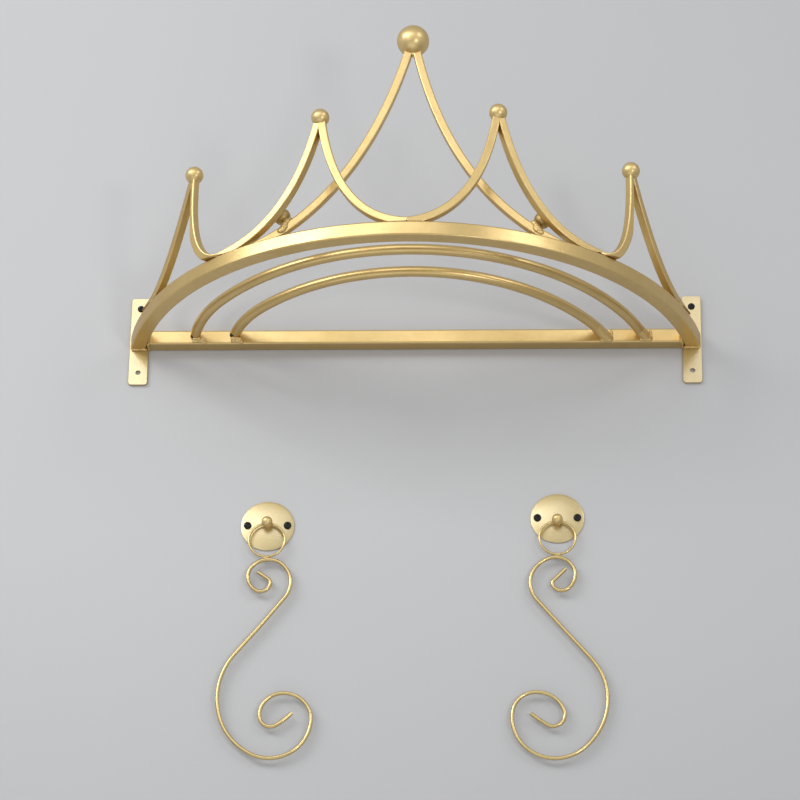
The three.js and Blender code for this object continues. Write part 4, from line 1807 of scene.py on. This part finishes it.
@dataclass
class Studio:
    """Pale wall and floor, soft lights and the camera."""

    eye: Place = (0.1463, -3.5700, -1.8821)
    tilt: float = 0.47
    pan: float = -0.0451
    roll: float = 0.0165
    focal_pixels: float = 3847.1
    image_pixels: float = 800.0
    sensor: float = 36.0
    half_wall: float = 6.0
    wall_top: float = 3.5
    wall_y: float = 0.0003
    floor_z: float = -2.3
    floor_y: float = -8.0
    wall_paint: PaleWall = PaleWall(
        "wall_paint",
        (0.508, 0.511, 0.516),
        open_rounds=((-0.1485, -0.212, 0.0268), (0.1485, -0.204, 0.0268)),
        open_boxes=(
            (0.0, 0.0, 0.276, 0.0064),
            (-0.29, 0.002, 0.0093, 0.0503),
            (0.29, 0.002, 0.0093, 0.0503),
        ),
        shut_rounds=((-0.29, -0.035, 0.0034), (0.29, -0.035, 0.0034)),
    )
    floor_paint: PaleWall = PaleWall("floor_paint", (0.75, 0.75, 0.75))
    lamps: tuple[Lamp, ...] = (
        Lamp("key", (-2.05, -1.85, 1.22), (1.7, 1.0), 31.0),
        Lamp("fill", (1.35, -2.7, -1.0), (0.4, 0.4), 12.0),
        Lamp("front", (-0.95, -3.9, 1.95), (3.6, 2.0), 31.0),
        Lamp("side", (2.15, -2.4, 1.5), (1.1, 1.0), 13.0),
        Lamp("left", (-1.7, -3.8, -0.2), (1.6, 1.6), 8.0),
        Lamp("hot", (-0.95, -3.57, 1.85), (0.8, 0.6), 4.0),
        Lamp("bounce", (-0.5, -1.9, -2.25), (3.0, 2.5), 11.0, target=(-0.5, -1.9, 0.0)),
    )
    sky: Colour = (0.97, 0.98, 1.0)
    sky_strength: float = 0.62

    def camera(self) -> None:
        """Sets the camera at the viewing angle of the photograph."""
        level_share = math.cos(self.tilt)
        across, onward = math.sin(self.pan) * level_share, math.cos(self.pan) * level_share
        ahead = Vector((across, onward, math.sin(self.tilt)))
        level = Vector((math.cos(self.pan), -math.sin(self.pan), 0))
        upright = level.cross(ahead)
        right = level * math.cos(self.roll) + upright * math.sin(self.roll)
        top = upright * math.cos(self.roll) - level * math.sin(self.roll)
        data = bpy.data.cameras.new("camera")
        data.sensor_width = self.sensor
        data.lens = self.sensor * self.focal_pixels / self.image_pixels
        data.clip_start, data.clip_end = 0.1, 50.0
        camera = placed("camera", data)
        turn = Matrix((right, top, -ahead)).transposed().to_4x4()
        camera.matrix_world = Matrix.Translation(self.eye) @ turn
        bpy.context.scene.camera = camera

    def sheet(
        self, name: str, paint: PaleWall, near: tuple[float, float], far: tuple[float, float]
    ) -> None:
        """Adds one flat sheet of the backdrop.

        Args:
            name: Name of the sheet.
            paint: Its paint.
            near: Place off the wall and height of its lower or nearer edge.
            far: Place off the wall and height of its other edge.
        """
        half = self.half_wall
        corners = [(-half, *near), (half, *near), (half, *far), (-half, *far)]
        mesh = bpy.data.meshes.new(name)
        mesh.from_pydata(corners, [], [tuple(range(len(corners)))])
        mesh.materials.append(paint.material())
        sheet = placed(name, mesh)

    def build(self) -> None:
        """Builds the backdrop, the lights and the camera."""
        corner = (self.wall_y, self.floor_z)
        self.sheet("wall", self.wall_paint, corner, (self.wall_y, self.wall_top))
        self.sheet("floor", self.floor_paint, (self.floor_y, self.floor_z), corner)
        for lamp in self.lamps:
            lamp.build()
        world = bpy.data.worlds.new("studio")
        world.use_nodes = True
        sky = world.node_tree.nodes["Background"]
        sky.inputs["Color"].default_value = (*self.sky, 1.0)
        sky.inputs["Strength"].default_value = self.sky_strength
        bpy.context.scene.world = world
        bpy.context.scene.view_settings.view_transform = "Standard"
        self.camera()
        log.info("studio done")


# Radius and turn in degrees of each arc of the scrolls' centrelines, from the upper curl on.
LEFT_SCROLL = (
    (147, -5.2), (6.2, -62), (9.7, -112.8), (17.8, -97.8), (21.5, -95.9), (27.7, -80),
    (1144.6, -3.8), (77.2, 53.6), (65.9, 47.3), (40.9, 119), (29.1, 79.3), (23.7, 106.3),
    (11.3, 118.6), (83.5, 13.2),
)
RIGHT_SCROLL = (
    (269.8, 3.6), (5.9, -91.1), (11, -87.9), (19.7, -68.3), (19.7, -88.4), (29.2, -109.6),
    (4778, -1), (69.4, 55.2), (67.8, 37.5), (42.9, 141.9), (23.3, 69.9), (28.7, 82.6),
    (11.9, 136.6), (172.9, 6.5),
)

FRAME_GOLD = SatinGold("frame_gold")
PLATE_GOLD = SatinGold(
    "plate_gold",
    (0.59, 0.468, 0.212),
    (0.52, 0.398, 0.155),
    roughness=0.34,
    coat=1.0,
    coat_ior=2.05,
    peel=0.28,
    peel_scale=520.0,
)
# Painted light: a lighter copy of the frame gold, so that the balls and the tie-back posts look
# brighter.
BALL_GOLD_LIGHTENED = SatinGold(
    "ball_gold_lightened", (0.72, 0.54, 0.24), (0.64, 0.47, 0.18), roughness=0.36, peel=0.14
)
# Painted shade: a darker copy of the gold for the knobs, which sit in the shadow of the tall
# spire's legs.
KNOB_GOLD_SHADED = SatinGold(
    "knob_gold_shaded", (0.50, 0.36, 0.14), (0.42, 0.29, 0.10), roughness=0.42, coat=0.3
)
WIRE_GOLD = SatinGold(
    "wire_gold",
    (0.62, 0.48, 0.20),
    (0.54, 0.40, 0.15),
    (0.42, 0.30, 0.16),
    roughness=0.22,
    coat=1.0,
    peel=0.06,
)
WELD_GOLD = SatinGold("weld_gold", roughness=0.34, peel=0.4, lumps=0.5)


def main() -> None:
    """Builds the crown, its spires, the tie-backs and the studio in order."""
    logging.basicConfig(level=logging.INFO, format="%(name)s: %(message)s")
    plate_gold, ball_gold_lightened = PLATE_GOLD.material(), BALL_GOLD_LIGHTENED.material()
    welds = Welds(WELD_GOLD.material())
    # The material named rod_bore is painted shade for the crevices behind the open left rod ends.
    crown = Crown(FRAME_GOLD.material(), plate_gold, PaintedCreviceShade("rod_bore").material(), welds)
    crown.build()
    outer = (172.5, 260.8, RodBend(148.1, 49.2), RodBend(202.1, 54.9), 1.67, 0.0959)
    inner = (124.8, 232.5, RodBend(117.6, 42.7), RodBend(155.5, 59.0), 2.7, 0.1339)
    CurtainRod(crown, "outer_rod", *outer, (-232.0, -217.5), (235.8, 246.0)).build()
    CurtainRod(crown, "inner_rod", *inner, (-191.5, -179.5), (194.5, 205.0)).build()
    Spires(crown, ball_gold_lightened, KNOB_GOLD_SHADED.material()).build()

    shared = (welds, bent_wire_tree(), plate_gold, ball_gold_lightened, WIRE_GOLD.material())
    tiebacks = [
        Tieback(-1, "left", -212.0, 0.0, (-8.3, -54.1), -32.6, LEFT_SCROLL, *shared),
        Tieback(1, "right", -204.0, 6.0, (-8.1, -54.2), -48.0, RIGHT_SCROLL, *shared),
    ]
    for tieback in tiebacks:
        tieback.build()
    Screws(crown, tiebacks, BlackOxide("screw_black").material()).build()
    welds.build()
    Studio().build()


if __name__ == "__main__":
    main()
